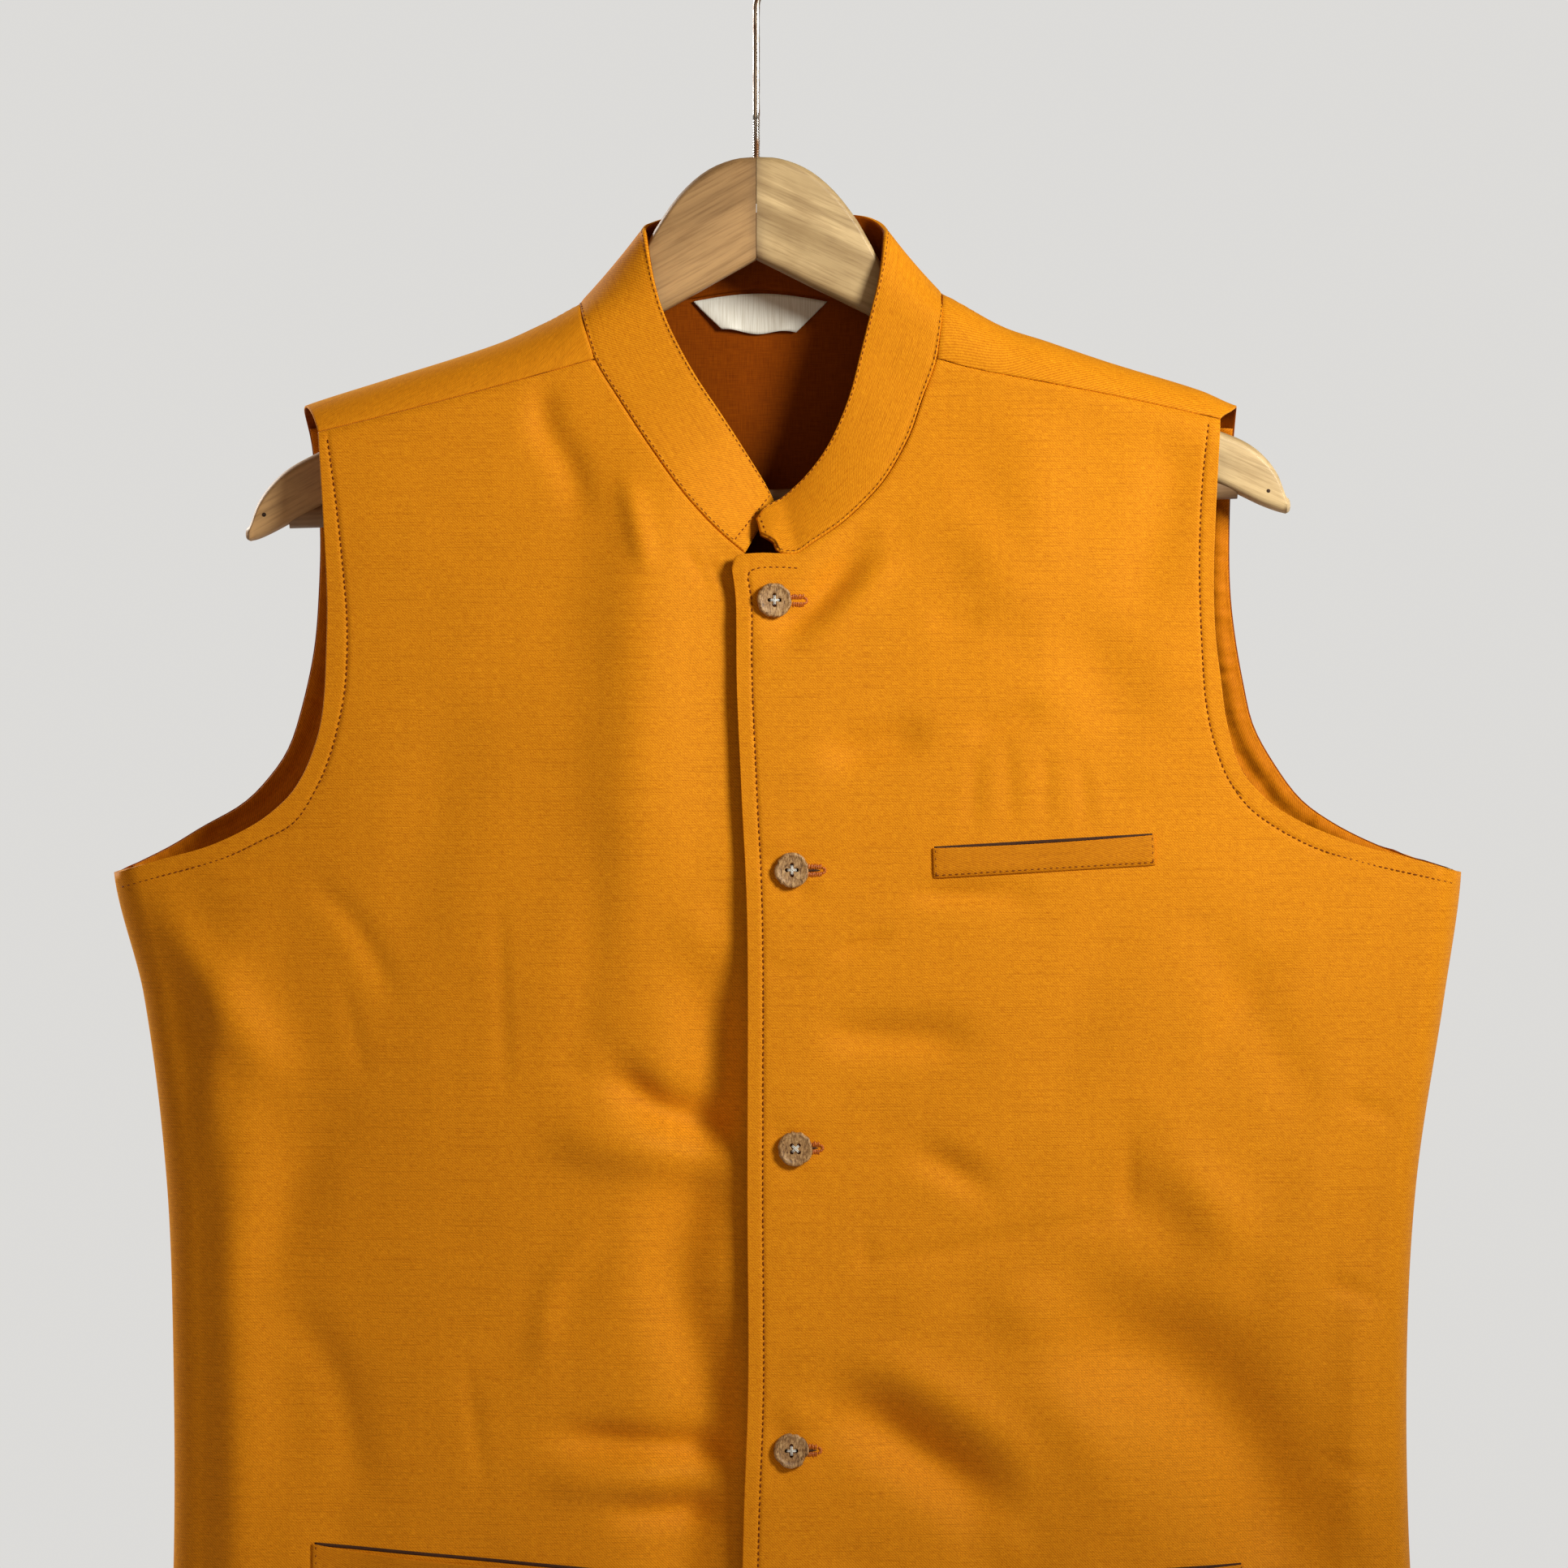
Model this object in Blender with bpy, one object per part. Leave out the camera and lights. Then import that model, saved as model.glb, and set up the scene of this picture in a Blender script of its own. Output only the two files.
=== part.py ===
"""A sleeveless stand-collared jacket hung on a wooden hanger.

Lengths are in millimetres until a mesh is made, which is in metres.
+X is the wearer's left, the front faces -Y and +Z is up. The origin is the
inside top of the hook's crook, where it rests on a rail.
"""

import math

import bmesh
import bpy
from mathutils import Matrix, Vector

MM = 0.001

# Cloth walls and the gaps that keep the pieces apart
CLOTH = 1.6
COLLAR_CLOTH = 2.4
TRIM_CLOTH = 1.2
LABEL_CLOTH = 1.0
SEAM_GAP = 0.3
SIDE_HALF_GAP = 0.35
SHOULDER_HALF_GAP = 0.25
COLLAR_GAP = 1.3

# The garment's main levels and the roundness of its folds over the hanger
HEM_Z = -872.0
ARMPIT_Z = -414.1
SIDE_ROUND = 12.0
SHOULDER_ROUND = 22.0
CROWN_POWER = 2.5

# Level sections of the body: height, wearer's right side, wearer's left side,
# how far the middle of the front and of the back stand out past the side rounds
BODY_SECTIONS = (
    (-872.0, -255.0, 290.0, 26.0, 20.0),
    (-711.0, -249.0, 279.3, 28.0, 21.0),
    (-620.0, -249.1, 277.9, 30.0, 22.0),
    (-545.0, -252.0, 282.1, 31.0, 23.0),
    (-467.0, -261.6, 293.9, 32.0, 24.0),
    (-414.1, -274.5, 301.2, 31.0, 23.0),
    (-340.0, -277.0, 303.0, 26.0, 18.0),
    (-278.0, -277.0, 303.0, 18.0, 11.0),
    (-220.0, -277.0, 303.0, 8.0, 6.0),
    (-150.0, -277.0, 303.0, 4.0, 4.0),
)

# The highest line of the cloth over the shoulders: x, z
SHOULDER_RIDGE = (
    (-280.0, -240.0),
    (-206.0, -219.5),
    (-187.0, -212.8),
    (-157.2, -203.4),
    (-111.0, -188.5),
    (-89.2, -178.8),
    (-75.6, -171.5),
    (-40.0, -155.0),
    (0.0, -147.0),
    (40.0, -151.5),
    (80.0, -167.3),
    (104.8, -180.8),
    (123.2, -187.0),
    (151.3, -196.5),
    (189.8, -208.3),
    (205.4, -214.9),
    (300.0, -240.0),
)

# Seams and edges as the front shows them: x, z
RIGHT_SHOULDER_SEAM = ((-69.1, -195.1), (-111.0, -206.9), (-157.2, -219.0), (-186.7, -226.2))
LEFT_SHOULDER_SEAM = ((77.0, -195.1), (94.0, -199.6), (128.4, -206.2), (160.3, -212.4), (197.8, -220.8))
RIGHT_NECK = ((-4.9, -278.4), (-17.0, -268.0), (-30.5, -253.4), (-43.4, -235.7), (-57.0, -215.0), (-69.1, -195.1))
LEFT_NECK = ((17.3, -278.6), (24.0, -274.0), (36.4, -265.5), (47.5, -255.1), (55.9, -245.1), (65.2, -228.4),
             (70.8, -212.4), (77.0, -195.1))
RIGHT_ARMHOLE = ((-274.5, ARMPIT_Z), (-253.0, -408.2), (-232.8, -402.6), (-215.5, -394.6), (-204.0, -386.6),
                 (-195.4, -377.3), (-188.4, -363.0), (-183.9, -344.3), (-182.5, -315.0), (-182.5, -294.0),
                 (-184.3, -262.0), (-186.7, -226.2))
LEFT_ARMHOLE = ((301.2, ARMPIT_Z), (280.4, -408.2), (260.2, -403.3), (241.5, -396.7), (228.7, -390.8),
                (217.2, -383.2), (205.8, -370.0), (199.9, -351.2), (197.1, -331.1), (194.7, -308.2),
                (194.7, -276.6), (197.8, -220.8))
PLACKET_TOP = ((-10.4, -284.5), (-9.2, -280.6), (-6.9, -279.0), (1.7, -278.2), (9.7, -278.4), (17.3, -278.6))
UNDER_TOP = ((33.0, -285.0), (14.0, -283.5), (0.0, -282.5), (-4.9, -278.4))
PLACKET_EDGE = ((-7.5, HEM_Z), (-5.9, -711.0), (-3.5, -630.0), (-3.8, -551.0), (-3.8, -440.0), (-6.2, -381.0),
                (-8.2, -335.0), (-8.6, -300.0), (-10.4, -284.5))
UNDER_EDGE = ((33.0, HEM_Z), (33.0, -285.0))

# Edges of the back, which runs over the shoulders to the front seams: x, z
BACK_RIGHT_ARMHOLE = ((-274.5, ARMPIT_Z), (-253.0, -403.3), (-238.7, -394.6), (-221.4, -384.6), (-209.9, -373.1),
                      (-201.3, -359.9), (-195.4, -341.2), (-190.5, -318.0), (-188.4, -294.0), (-187.8, -265.2),
                      (-190.8, -233.6), (-193.6, -215.6))
BACK_LEFT_ARMHOLE = ((301.2, ARMPIT_Z), (283.2, -408.2), (266.1, -401.9), (248.8, -393.2), (234.2, -382.5),
                     (222.8, -367.2), (214.1, -351.2), (209.9, -334.2), (205.8, -311.0), (203.6, -288.1),
                     (203.6, -256.5), (205.4, -214.9))
NECK_TURN_RIGHT = (-74.0, -178.5)
NECK_TURN_LEFT = (79.0, -176.0)
BACK_NECK = ((-75.4, -171.5), (-74.6, -175.5), (-64.0, -174.5), (-50.0, -171.0), (-27.0, -167.0), (0.0, -163.5),
             (28.0, -166.6), (52.0, -170.2), (68.0, -172.6), (78.6, -171.8), (79.4, -167.4))

# Where each panel's edges end, as shares of its height and of its width
ARMPIT_SHARE = 0.72
BACK_ARMPIT_SHARE = 0.68
PLACKET_TOP_SHARE = 0.12
UNDER_TOP_SHARE = 0.14
NECK_SHARE = 0.5
BACK_NECK_START = 0.29
BACK_NECK_END = 0.71

# The panels' grids: rows of a share and the steps up to it, then the side's columns
FRONT_ROWS = ((0.72, 15), (1.0, 10))
LEFT_COLUMNS = ((0.12, 3), (0.5, 7), (0.93, 6))
RIGHT_COLUMNS = ((0.14, 3), (0.5, 5), (0.93, 6))
FRONT_SIDE_SHARES = (0.96, 0.984, 0.996, 1.0)
BACK_ROWS = ((0.68, 15), (0.9, 6), (1.0, 10))
BACK_COLUMNS = ((0.29, 6), (0.71, 14), (0.978, 6))
BACK_SIDE_SHARES = (0.0, 0.0022, 0.009, 0.022)
SEAM_STEPS = 12

# How far the back's grid is fanned outward below the sides of the neck
NECK_FAN = 20.0
NECK_FAN_FADE = 0.04
NECK_FAN_RIGHT = 0.31
NECK_FAN_LEFT = 0.69
NECK_FAN_WIDTH = 0.2

# The top edge of the placket stands off the front beneath it
PLACKET_LIFT = 4.0
PLACKET_LIFT_START = -10.0
PLACKET_LIFT_FADE = 70.0
UNDER_RECESS = 2.6
UNDER_RECESS_START = -38.0
UNDER_RECESS_END = -6.0
# Past here the covered front takes the folds of the front that lies on it
COVER_START = -14.0
COVER_FADE = 22.0

# The folds fade out near the side seams and below the shoulder seams
SIDE_CALM = 30.0
SHOULDER_CALM_START = 16.0
SHOULDER_CALM_FADE = 26.0

# The largest folds: x, z, turn in degrees, half length, half width, depth out
FRONT_RIGHT_FOLDS = (
    (-34.0, -502.0, -24.0, 34.0, 8.0, -3.6),
    (-42.0, -526.0, -8.0, 30.0, 10.0, 2.4),
    (-48.0, -655.0, -4.0, 34.0, 7.0, -3.6),
    (-52.0, -671.0, 2.0, 34.0, 7.0, 2.4),
    (-39.0, -684.0, 3.0, 20.0, 6.0, -2.4),
    (-231.0, -464.0, -52.0, 48.0, 12.0, 2.8),
    (-50.0, -336.0, 88.0, 95.0, 20.0, 3.4),
    (-91.0, -218.0, -70.0, 30.0, 9.0, -2.4),
    (-130.0, -790.0, 82.0, 80.0, 20.0, -4.0),
    (-190.0, -760.0, 96.0, 90.0, 16.0, 2.6),
)
FRONT_LEFT_FOLDS = (
    (42.0, -276.0, 32.0, 20.0, 7.0, -2.4),
    (51.0, -360.0, 15.0, 20.0, 8.0, -2.0),
    (92.0, -423.0, 0.0, 24.0, 5.0, -1.6),
    (60.0, -483.0, -2.0, 28.0, 8.0, -2.4),
    (84.0, -542.0, -27.0, 32.0, 8.0, -3.0),
    (70.0, -662.0, -31.0, 54.0, 10.0, -4.6),
    (188.0, -633.0, -41.0, 54.0, 16.0, -4.6),
    (258.0, -650.0, 88.0, 60.0, 10.0, 2.2),
    (120.0, -790.0, 98.0, 75.0, 18.0, -3.6),
    (205.0, -800.0, 84.0, 70.0, 16.0, 2.8),
)
BACK_FOLDS = (
    (-165.0, -462.0, 58.0, 60.0, 16.0, -3.2),
    (175.0, -480.0, -60.0, 66.0, 16.0, -3.4),
    (-8.0, -300.0, 90.0, 80.0, 26.0, -2.4),
    (-70.0, -700.0, 82.0, 120.0, 20.0, -4.4),
    (84.0, -735.0, 97.0, 110.0, 18.0, -4.0),
    (10.0, -610.0, 88.0, 90.0, 20.0, 2.6),
    (205.0, -640.0, 100.0, 80.0, 14.0, 2.6),
    (-196.0, -600.0, 80.0, 70.0, 14.0, 2.4),
)

# The stand collar's top edge from its right end round the back to its left
# end, one row for each point of the neck seam that it stands over: x, y, z
COLLAR_TOP = (
    (7.6, -8.0, -255.8),
    (3.0, -12.0, -247.0),
    (-5.0, -15.0, -234.0),
    (-14.0, -17.5, -220.0),
    (-27.5, -18.5, -199.5),
    (-38.0, -17.5, -179.0),
    (-43.5, -15.5, -162.0),
    (-47.0, -9.0, -143.0),
    (-47.4, 0.5, -138.0),
    (-43.5, 7.5, -135.0),
    (-36.0, 9.8, -132.8),
    (-20.0, 9.0, -131.5),
    (0.0, 8.5, -131.0),
    (22.0, 9.0, -131.0),
    (38.5, 9.8, -131.6),
    (48.5, 7.0, -133.4),
    (54.2, -0.5, -138.0),
    (54.6, -9.0, -143.5),
    (52.4, -15.5, -160.0),
    (48.5, -17.0, -176.0),
    (44.5, -18.0, -192.0),
    (40.0, -19.0, -209.5),
    (34.0, -19.5, -225.0),
    (28.0, -19.5, -236.0),
    (21.0, -19.0, -245.0),
    (15.0, -18.0, -251.0),
    (11.0, -18.0, -254.3),
    (7.5, -18.8, -256.2),
    (3.0, -20.0, -259.0),
    (0.7, -22.0, -262.9),
)
# The rounded tab that passes the neck seam at the collar's left end: x, y, z
COLLAR_TAB = ((10.5, -32.6, -276.8), (5.0, -29.5, -271.2), (1.2, -26.5, -267.3))
COLLAR_STEPS = 2
COLLAR_ROWS = 3

# Welt pockets: corners of each strip, lower left, lower right, upper left, upper right
WELTS = {
    "welt_chest": ("left", ((75.0, -416.1), (169.0, -410.6), (74.6, -403.3), (168.6, -397.7))),
    "welt_lower_right": ("right", ((-188.4, -712.0), (-64.5, -722.5), (-188.4, -698.6), (-64.5, -709.0))),
    "welt_lower_left": ("left", ((83.0, -726.0), (207.2, -721.5), (83.0, -712.4), (207.2, -708.0))),
}

WELT_EASE = 0.4
WELT_STEPS = 16
STRIP_ROWS = 2

# Buttons, with the turned shape as radius and height
BUTTON_PLACES = ((7.3, -298.5), (14.9, -412.7), (16.3, -530.0), (14.6, -658.0), (13.9, -786.0))
BUTTON_HEIGHT = 3.0
BUTTON_PROFILE = (
    (0.0, 0.0), (6.3, 0.0), (7.5, 1.1), (7.5, 2.3), (6.9, BUTTON_HEIGHT), (6.0, BUTTON_HEIGHT), (5.1, 2.4),
    (0.0, 2.4),
)
BUTTON_SIDES = 24
BUTTON_STANDOFF = 0.8
BUTTON_REACH = 6.0
HOLE_RADIUS = 0.85
HOLE_CIRCLE = 2.1
HOLE_SIDES = 6
HOLE_TURNS = (0.0, 0.0, 45.0, 0.0, 20.0)

# The blank woven label: corners as for the welts
LABEL_CORNERS = ((-15.0, -181.5), (17.0, -182.5), (-27.4, -168.8), (30.4, -168.8))
LABEL_EASE = 0.2
LABEL_STEPS = 8

# Facing strips inside the back armholes
FACING_WIDTH = 15.0
FACING_START = 0.16
FACING_END = 0.93
FACING_STEPS = 16
FACING_INSET = 0.6
FACING_LOOK = 0.01

# Hanger: wooden arms, then their sections as x, top z, bottom z
ARM_THICKNESS = 14.0
ARM_ROUND = 4.0
ARM_FRONT_Y = -4.0
ARM_BACK_Y = 5.0
ARM_REACH = 222.0
MITRE_GAP = 0.15
LEFT_ARM = (
    (0.0, -108.3, -152.1), (10.0, -109.0, -157.0), (22.0, -113.6, -163.0), (33.0, -122.5, -168.3),
    (43.0, -135.2, -173.2), (48.0, -144.0, -175.7), (54.0, -154.6, -178.6), (64.0, -165.4, -183.4),
    (78.0, -174.2, -190.0), (105.0, -188.0, -203.0), (150.0, -205.0, -224.7), (198.0, -225.0, -248.0),
    (208.0, -229.0, -252.8), (216.0, -234.5, -256.6), (223.0, -243.2, -259.2), (227.0, -253.5, -260.2),
)
RIGHT_ARM = (
    (0.0, -108.3, -152.1), (-10.0, -109.4, -157.7), (-22.0, -114.6, -164.4), (-33.0, -124.4, -170.5),
    (-42.0, -137.0, -175.5), (-47.0, -145.8, -178.3), (-53.0, -156.6, -181.7), (-62.0, -167.4, -186.8),
    (-76.0, -178.4, -194.7), (-104.0, -192.4, -210.5), (-140.0, -208.8, -231.0), (-187.0, -233.9, -257.5),
    (-200.0, -241.0, -264.6), (-208.0, -248.2, -268.8), (-213.5, -256.2, -271.2), (-217.0, -266.0, -272.0),
)
BAR_RADIUS = 5.2
BAR_HOLE = 5.6
BAR_SIDES = 16
BAR_ENDS = ((-200.0, -261.5), (206.0, -248.8))
BAR_SOCKET = 30.0
BAR_ARM_SHARE = 0.9

# Hanger: steel hook
HOOK_WIRE = 1.5
CROOK_RADIUS = 19.0
CROOK_TIP = 205.0
CROOK_END = -62.0
NECK_BEND = 8.0
SHANK_BOTTOM = -128.0
SHANK_LEVELS = (SHANK_BOTTOM, -106.0, -84.0, -62.0)
SHANK_HOLE = 1.85
SHANK_HOLE_TOP = -90.0
SHANK_HOLE_BOTTOM = -129.0
BEND_STEPS = 5
CROOK_STEPS = 22
HOOK_SIDES = 10

# Edges sharper than these angles are shaded as edges
CLOTH_EDGE = math.radians(40)
BUTTON_EDGE = math.radians(35)
HANGER_EDGE = math.radians(50)


def clear_scene():
    for old in list(bpy.data.objects):
        bpy.data.objects.remove(old, do_unlink=True)


def material(name, colour, roughness, metallic=0.0):
    """A Principled material in the given linear colour."""
    made = bpy.data.materials.new(name)
    made.use_nodes = True
    shader = made.node_tree.nodes["Principled BSDF"]
    shader.inputs["Base Color"].default_value = (*colour, 1.0)
    shader.inputs["Roughness"].default_value = roughness
    shader.inputs["Metallic"].default_value = metallic
    return made


def ease(value):
    """A smooth step from 0 to 1."""
    held = min(max(value, 0.0), 1.0)
    return held * held * (3.0 - 2.0 * held)


def read_table(table, key, column):
    """Smoothly reads a column of a table whose first column is sorted."""
    rows = sorted(table)
    place = 0
    while place < len(rows) - 2 and key > rows[place + 1][0]:
        place += 1
    low, high = rows[place], rows[place + 1]
    before = rows[max(place - 1, 0)]
    after = rows[min(place + 2, len(rows) - 1)]
    span = high[0] - low[0]
    t = min(max((key - low[0]) / span, 0.0), 1.0)
    slope_low = (high[column] - before[column]) / (high[0] - before[0]) * span
    slope_high = (after[column] - low[column]) / (after[0] - low[0]) * span
    a = 2 * t ** 3 - 3 * t ** 2 + 1
    b = t ** 3 - 2 * t ** 2 + t
    c = -2 * t ** 3 + 3 * t ** 2
    d = t ** 3 - t ** 2
    return a * low[column] + b * slope_low + c * high[column] + d * slope_high


def spline_point(points, place):
    """The point of a Catmull-Rom curve at a place counted in its points."""
    last = len(points) - 1
    index = min(int(place), last - 1)
    t = place - index
    p1, p2 = Vector(points[index]), Vector(points[index + 1])
    p0 = Vector(points[index - 1]) if index > 0 else p1 * 2 - p2
    p3 = Vector(points[index + 2]) if index + 2 <= last else p2 * 2 - p1
    return 0.5 * (2 * p1 + (p2 - p0) * t + (2 * p0 - 5 * p1 + 4 * p2 - p3) * t ** 2
                  + (3 * p1 - p0 - 3 * p2 + p3) * t ** 3)


def even_reader(points, steps=12):
    """Returns a function that reads the curve at a fraction of its length."""
    count = (len(points) - 1) * steps
    samples = [spline_point(points, i / steps) for i in range(count + 1)]
    lengths = [0.0]
    for first, second in zip(samples, samples[1:]):
        lengths.append(lengths[-1] + (second - first).length)

    def read(fraction):
        wanted = min(max(fraction, 0.0), 1.0) * lengths[-1]
        i = 0
        while i < count - 1 and lengths[i + 1] < wanted:
            i += 1
        share = (wanted - lengths[i]) / max(lengths[i + 1] - lengths[i], 1e-9)
        return samples[i].lerp(samples[i + 1], min(max(share, 0.0), 1.0))

    return read


def point_reader(points):
    """Returns a function that reads the curve evenly by its points."""
    def read(fraction):
        return spline_point(points, min(max(fraction, 0.0), 1.0) * (len(points) - 1))

    return read


def chain_reader(parts):
    """Joins curves end to end: rows of the share where each ends, and its reader."""
    def read(fraction):
        low = 0.0
        for high, reader in parts:
            if fraction <= high + 1e-9:
                return reader((fraction - low) / (high - low))
            low = high
        return parts[-1][1](1.0)

    return read


def fold_depth(folds, x, z):
    """How far the folds push the cloth out at a place."""
    depth = 0.0
    for fold_x, fold_z, turn, half_length, half_width, push in folds:
        angle = math.radians(turn)
        along = (x - fold_x) * math.cos(angle) + (z - fold_z) * math.sin(angle)
        across = (z - fold_z) * math.cos(angle) - (x - fold_x) * math.sin(angle)
        depth += push * math.exp(-(across / half_width) ** 2 - (along / half_length) ** 4)
    return depth


def shell_depth(x, z, column):
    """How far the smooth body stands from the middle plane at a place."""
    right = read_table(BODY_SECTIONS, z, 1)
    left = read_table(BODY_SECTIONS, z, 2)
    middle, half = (left + right) / 2, (left - right) / 2
    inward = max(half - abs(x - middle), 0.0)
    rounding = min(inward, SIDE_ROUND)
    side = math.sqrt(SIDE_ROUND ** 2 - (SIDE_ROUND - rounding) ** 2)
    crown = 1.0 - min(abs(x - middle) / half, 1.0) ** CROWN_POWER
    return SIDE_HALF_GAP + side + read_table(BODY_SECTIONS, z, column) * crown


def shoulder_share(drop):
    """How much of its depth the cloth has at a drop below the ridge."""
    near = min(max(drop / SHOULDER_ROUND, 0.0), 1.0)
    return math.sqrt(1.0 - (1.0 - near) ** 2)


def edge_calm(x, z):
    """Fades the folds out where the fronts and the back are sewn together."""
    right = read_table(BODY_SECTIONS, z, 1)
    left = read_table(BODY_SECTIONS, z, 2)
    return ease(min(x - right, left - x) / SIDE_CALM)


def front_base(x, z):
    drop = read_table(SHOULDER_RIDGE, x, 1) - z
    return -shell_depth(x, z, 3) * shoulder_share(drop)


def seam_calm(x, z):
    """Fades the folds out near the shoulder seam."""
    return ease((read_table(SHOULDER_RIDGE, x, 1) - z - SHOULDER_CALM_START) / SHOULDER_CALM_FADE)


def left_front_point(x, z):
    """The wearer's left front, lifted along its placket edge."""
    lift = PLACKET_LIFT * (1.0 - ease((x - PLACKET_LIFT_START) / PLACKET_LIFT_FADE))
    push = fold_depth(FRONT_LEFT_FOLDS, x, z) * edge_calm(x, z) * seam_calm(x, z)
    return Vector((x, front_base(x, z) - lift - push, z))


def right_front_point(x, z):
    """The wearer's right front, which passes under the placket."""
    recess = UNDER_RECESS * ease((x - UNDER_RECESS_START) / (UNDER_RECESS_END - UNDER_RECESS_START))
    covered = ease((x - COVER_START) / COVER_FADE)
    own = fold_depth(FRONT_RIGHT_FOLDS, x, z) * (1.0 - covered)
    other = fold_depth(FRONT_LEFT_FOLDS, x, z) * covered
    push = (own + other) * edge_calm(x, z) * seam_calm(x, z)
    return Vector((x, front_base(x, z) + recess - push, z))


def run_of_drop(drop):
    """The length of cloth from the ridge down to a drop below it."""
    if drop < SHOULDER_ROUND:
        return SHOULDER_ROUND * math.acos(1.0 - max(drop, 0.0) / SHOULDER_ROUND)
    return drop + SHOULDER_ROUND * (math.pi / 2 - 1)


def drop_of_run(run):
    """The drop below the ridge after a length of cloth."""
    if run < SHOULDER_ROUND * math.pi / 2:
        return SHOULDER_ROUND * (1.0 - math.cos(run / SHOULDER_ROUND))
    return run - SHOULDER_ROUND * (math.pi / 2 - 1)


def on_back(x, z):
    """A place on the back side as x and the running height of the cloth."""
    ridge = read_table(SHOULDER_RIDGE, x, 1)
    return x, ridge - run_of_drop(ridge - z)


def on_front(x, z):
    """A place on the front side as x and the running height of the back's cloth."""
    ridge = read_table(SHOULDER_RIDGE, x, 1)
    return x, ridge + run_of_drop(ridge - z)


def back_point(x, running):
    """The back, and past the ridge the part that lies on the front shoulder."""
    ridge = read_table(SHOULDER_RIDGE, x, 1)
    drop = drop_of_run(abs(ridge - running))
    z = ridge - drop
    if running > ridge:
        return Vector((x, -shell_depth(x, z, 3) * shoulder_share(drop), z))
    push = fold_depth(BACK_FOLDS, x, z) * edge_calm(x, z) * seam_calm(x, z)
    return Vector((x, shell_depth(x, z, 4) * shoulder_share(drop) + push, z))


def back_at(x, z):
    """A point of the back side at a place."""
    return back_point(*on_back(x, z))


def patch_point(edges, s, t):
    """A place inside four edges: bottom, top, inner side and outer side."""
    bottom, top, inner, outer = edges
    across = bottom(s) * (1 - t) + top(s) * t
    along = inner(t) * (1 - s) + outer(t) * s
    corners = (bottom(0) * (1 - s) + bottom(1) * s) * (1 - t) + (top(0) * (1 - s) + top(1) * s) * t
    return across + along - corners


def grid_normals(grid):
    """Unit normals of a grid of points."""
    rows, columns = len(grid), len(grid[0])
    normals = []
    for i in range(rows):
        line = []
        for j in range(columns):
            along = grid[min(i + 1, rows - 1)][j] - grid[max(i - 1, 0)][j]
            across = grid[i][min(j + 1, columns - 1)] - grid[i][max(j - 1, 0)]
            line.append(across.cross(along).normalized())
        normals.append(line)
    return normals


def wall_object(name, grid, thickness, finish, parent):
    """Gives a grid of middle points a wall and makes it one closed object."""
    normals = grid_normals(grid)
    rows, columns = len(grid), len(grid[0])
    mesh_data = bmesh.new()
    sides = []
    for sign in (-0.5, 0.5):
        side = []
        for i in range(rows):
            line = []
            for j in range(columns):
                place = (grid[i][j] + normals[i][j] * thickness * sign) * MM
                line.append(mesh_data.verts.new(place))
            side.append(line)
        sides.append(side)
    below, above = sides
    for i in range(rows - 1):
        for j in range(columns - 1):
            mesh_data.faces.new((above[i][j], above[i][j + 1], above[i + 1][j + 1], above[i + 1][j]))
            mesh_data.faces.new((below[i][j], below[i + 1][j], below[i + 1][j + 1], below[i][j + 1]))
    rim = [(0, j) for j in range(columns)]
    rim += [(i, columns - 1) for i in range(1, rows)]
    rim += [(rows - 1, j) for j in range(columns - 2, -1, -1)]
    rim += [(i, 0) for i in range(rows - 2, 0, -1)]
    for (i, j), (k, m) in zip(rim, rim[1:] + rim[:1]):
        mesh_data.faces.new((below[i][j], below[k][m], above[k][m], above[i][j]))
    return finish_object(name, mesh_data, finish, parent, CLOTH_EDGE)


def finish_object(name, mesh_data, finish, parent, sharp_angle):
    """Turns mesh data into a smooth shaded object with its material."""
    bmesh.ops.recalc_face_normals(mesh_data, faces=mesh_data.faces)
    mesh = bpy.data.meshes.new(name)
    mesh_data.to_mesh(mesh)
    mesh_data.free()
    mesh.shade_smooth()
    mesh.set_sharp_from_angle(angle=sharp_angle)
    mesh.materials.append(finish)
    made = bpy.data.objects.new(name, mesh)
    bpy.context.scene.collection.objects.link(made)
    made.parent = parent
    return made


def shares(stops):
    """Even shares between stops, from rows of a stop and the steps up to it."""
    found = [0.0]
    for stop, steps in stops:
        start = found[-1]
        found += [start + (stop - start) * (i + 1) / steps for i in range(steps)]
    return found


def front_grid(place, edges, columns):
    return [[place(*patch_point(edges, s, t)) for s in columns] for t in shares(FRONT_ROWS)]


def side_reader(column):
    """Returns a function that reads a side seam from the hem up to the armpit."""
    def read(fraction):
        z = HEM_Z + (ARMPIT_Z - HEM_Z) * fraction
        return Vector((read_table(BODY_SECTIONS, z, column), z))

    return read


def seam_line(points, drop):
    """A seam read evenly from its points and moved down by a little."""
    read = even_reader(points)
    spots = [read(i / SEAM_STEPS) for i in range(SEAM_STEPS + 1)]
    return tuple((spot.x, spot.y - drop) for spot in spots)


def build_left_front(finish, parent):
    """The wearer's left front, with its placket, laps over."""
    seam = seam_line(LEFT_SHOULDER_SEAM, SHOULDER_HALF_GAP)
    edges = (
        even_reader(((PLACKET_EDGE[0][0], HEM_Z), (read_table(BODY_SECTIONS, HEM_Z, 2), HEM_Z))),
        chain_reader(((PLACKET_TOP_SHARE, even_reader(PLACKET_TOP)),
                      (NECK_SHARE, point_reader(LEFT_NECK[:-1] + seam[:1])),
                      (1.0, even_reader(seam)))),
        even_reader(PLACKET_EDGE),
        chain_reader(((ARMPIT_SHARE, side_reader(2)),
                      (1.0, even_reader(LEFT_ARMHOLE[:-1] + seam[-1:])))),
    )
    columns = shares(LEFT_COLUMNS) + list(FRONT_SIDE_SHARES)
    return wall_object("front_left", front_grid(left_front_point, edges, columns), CLOTH, finish, parent)


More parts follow.
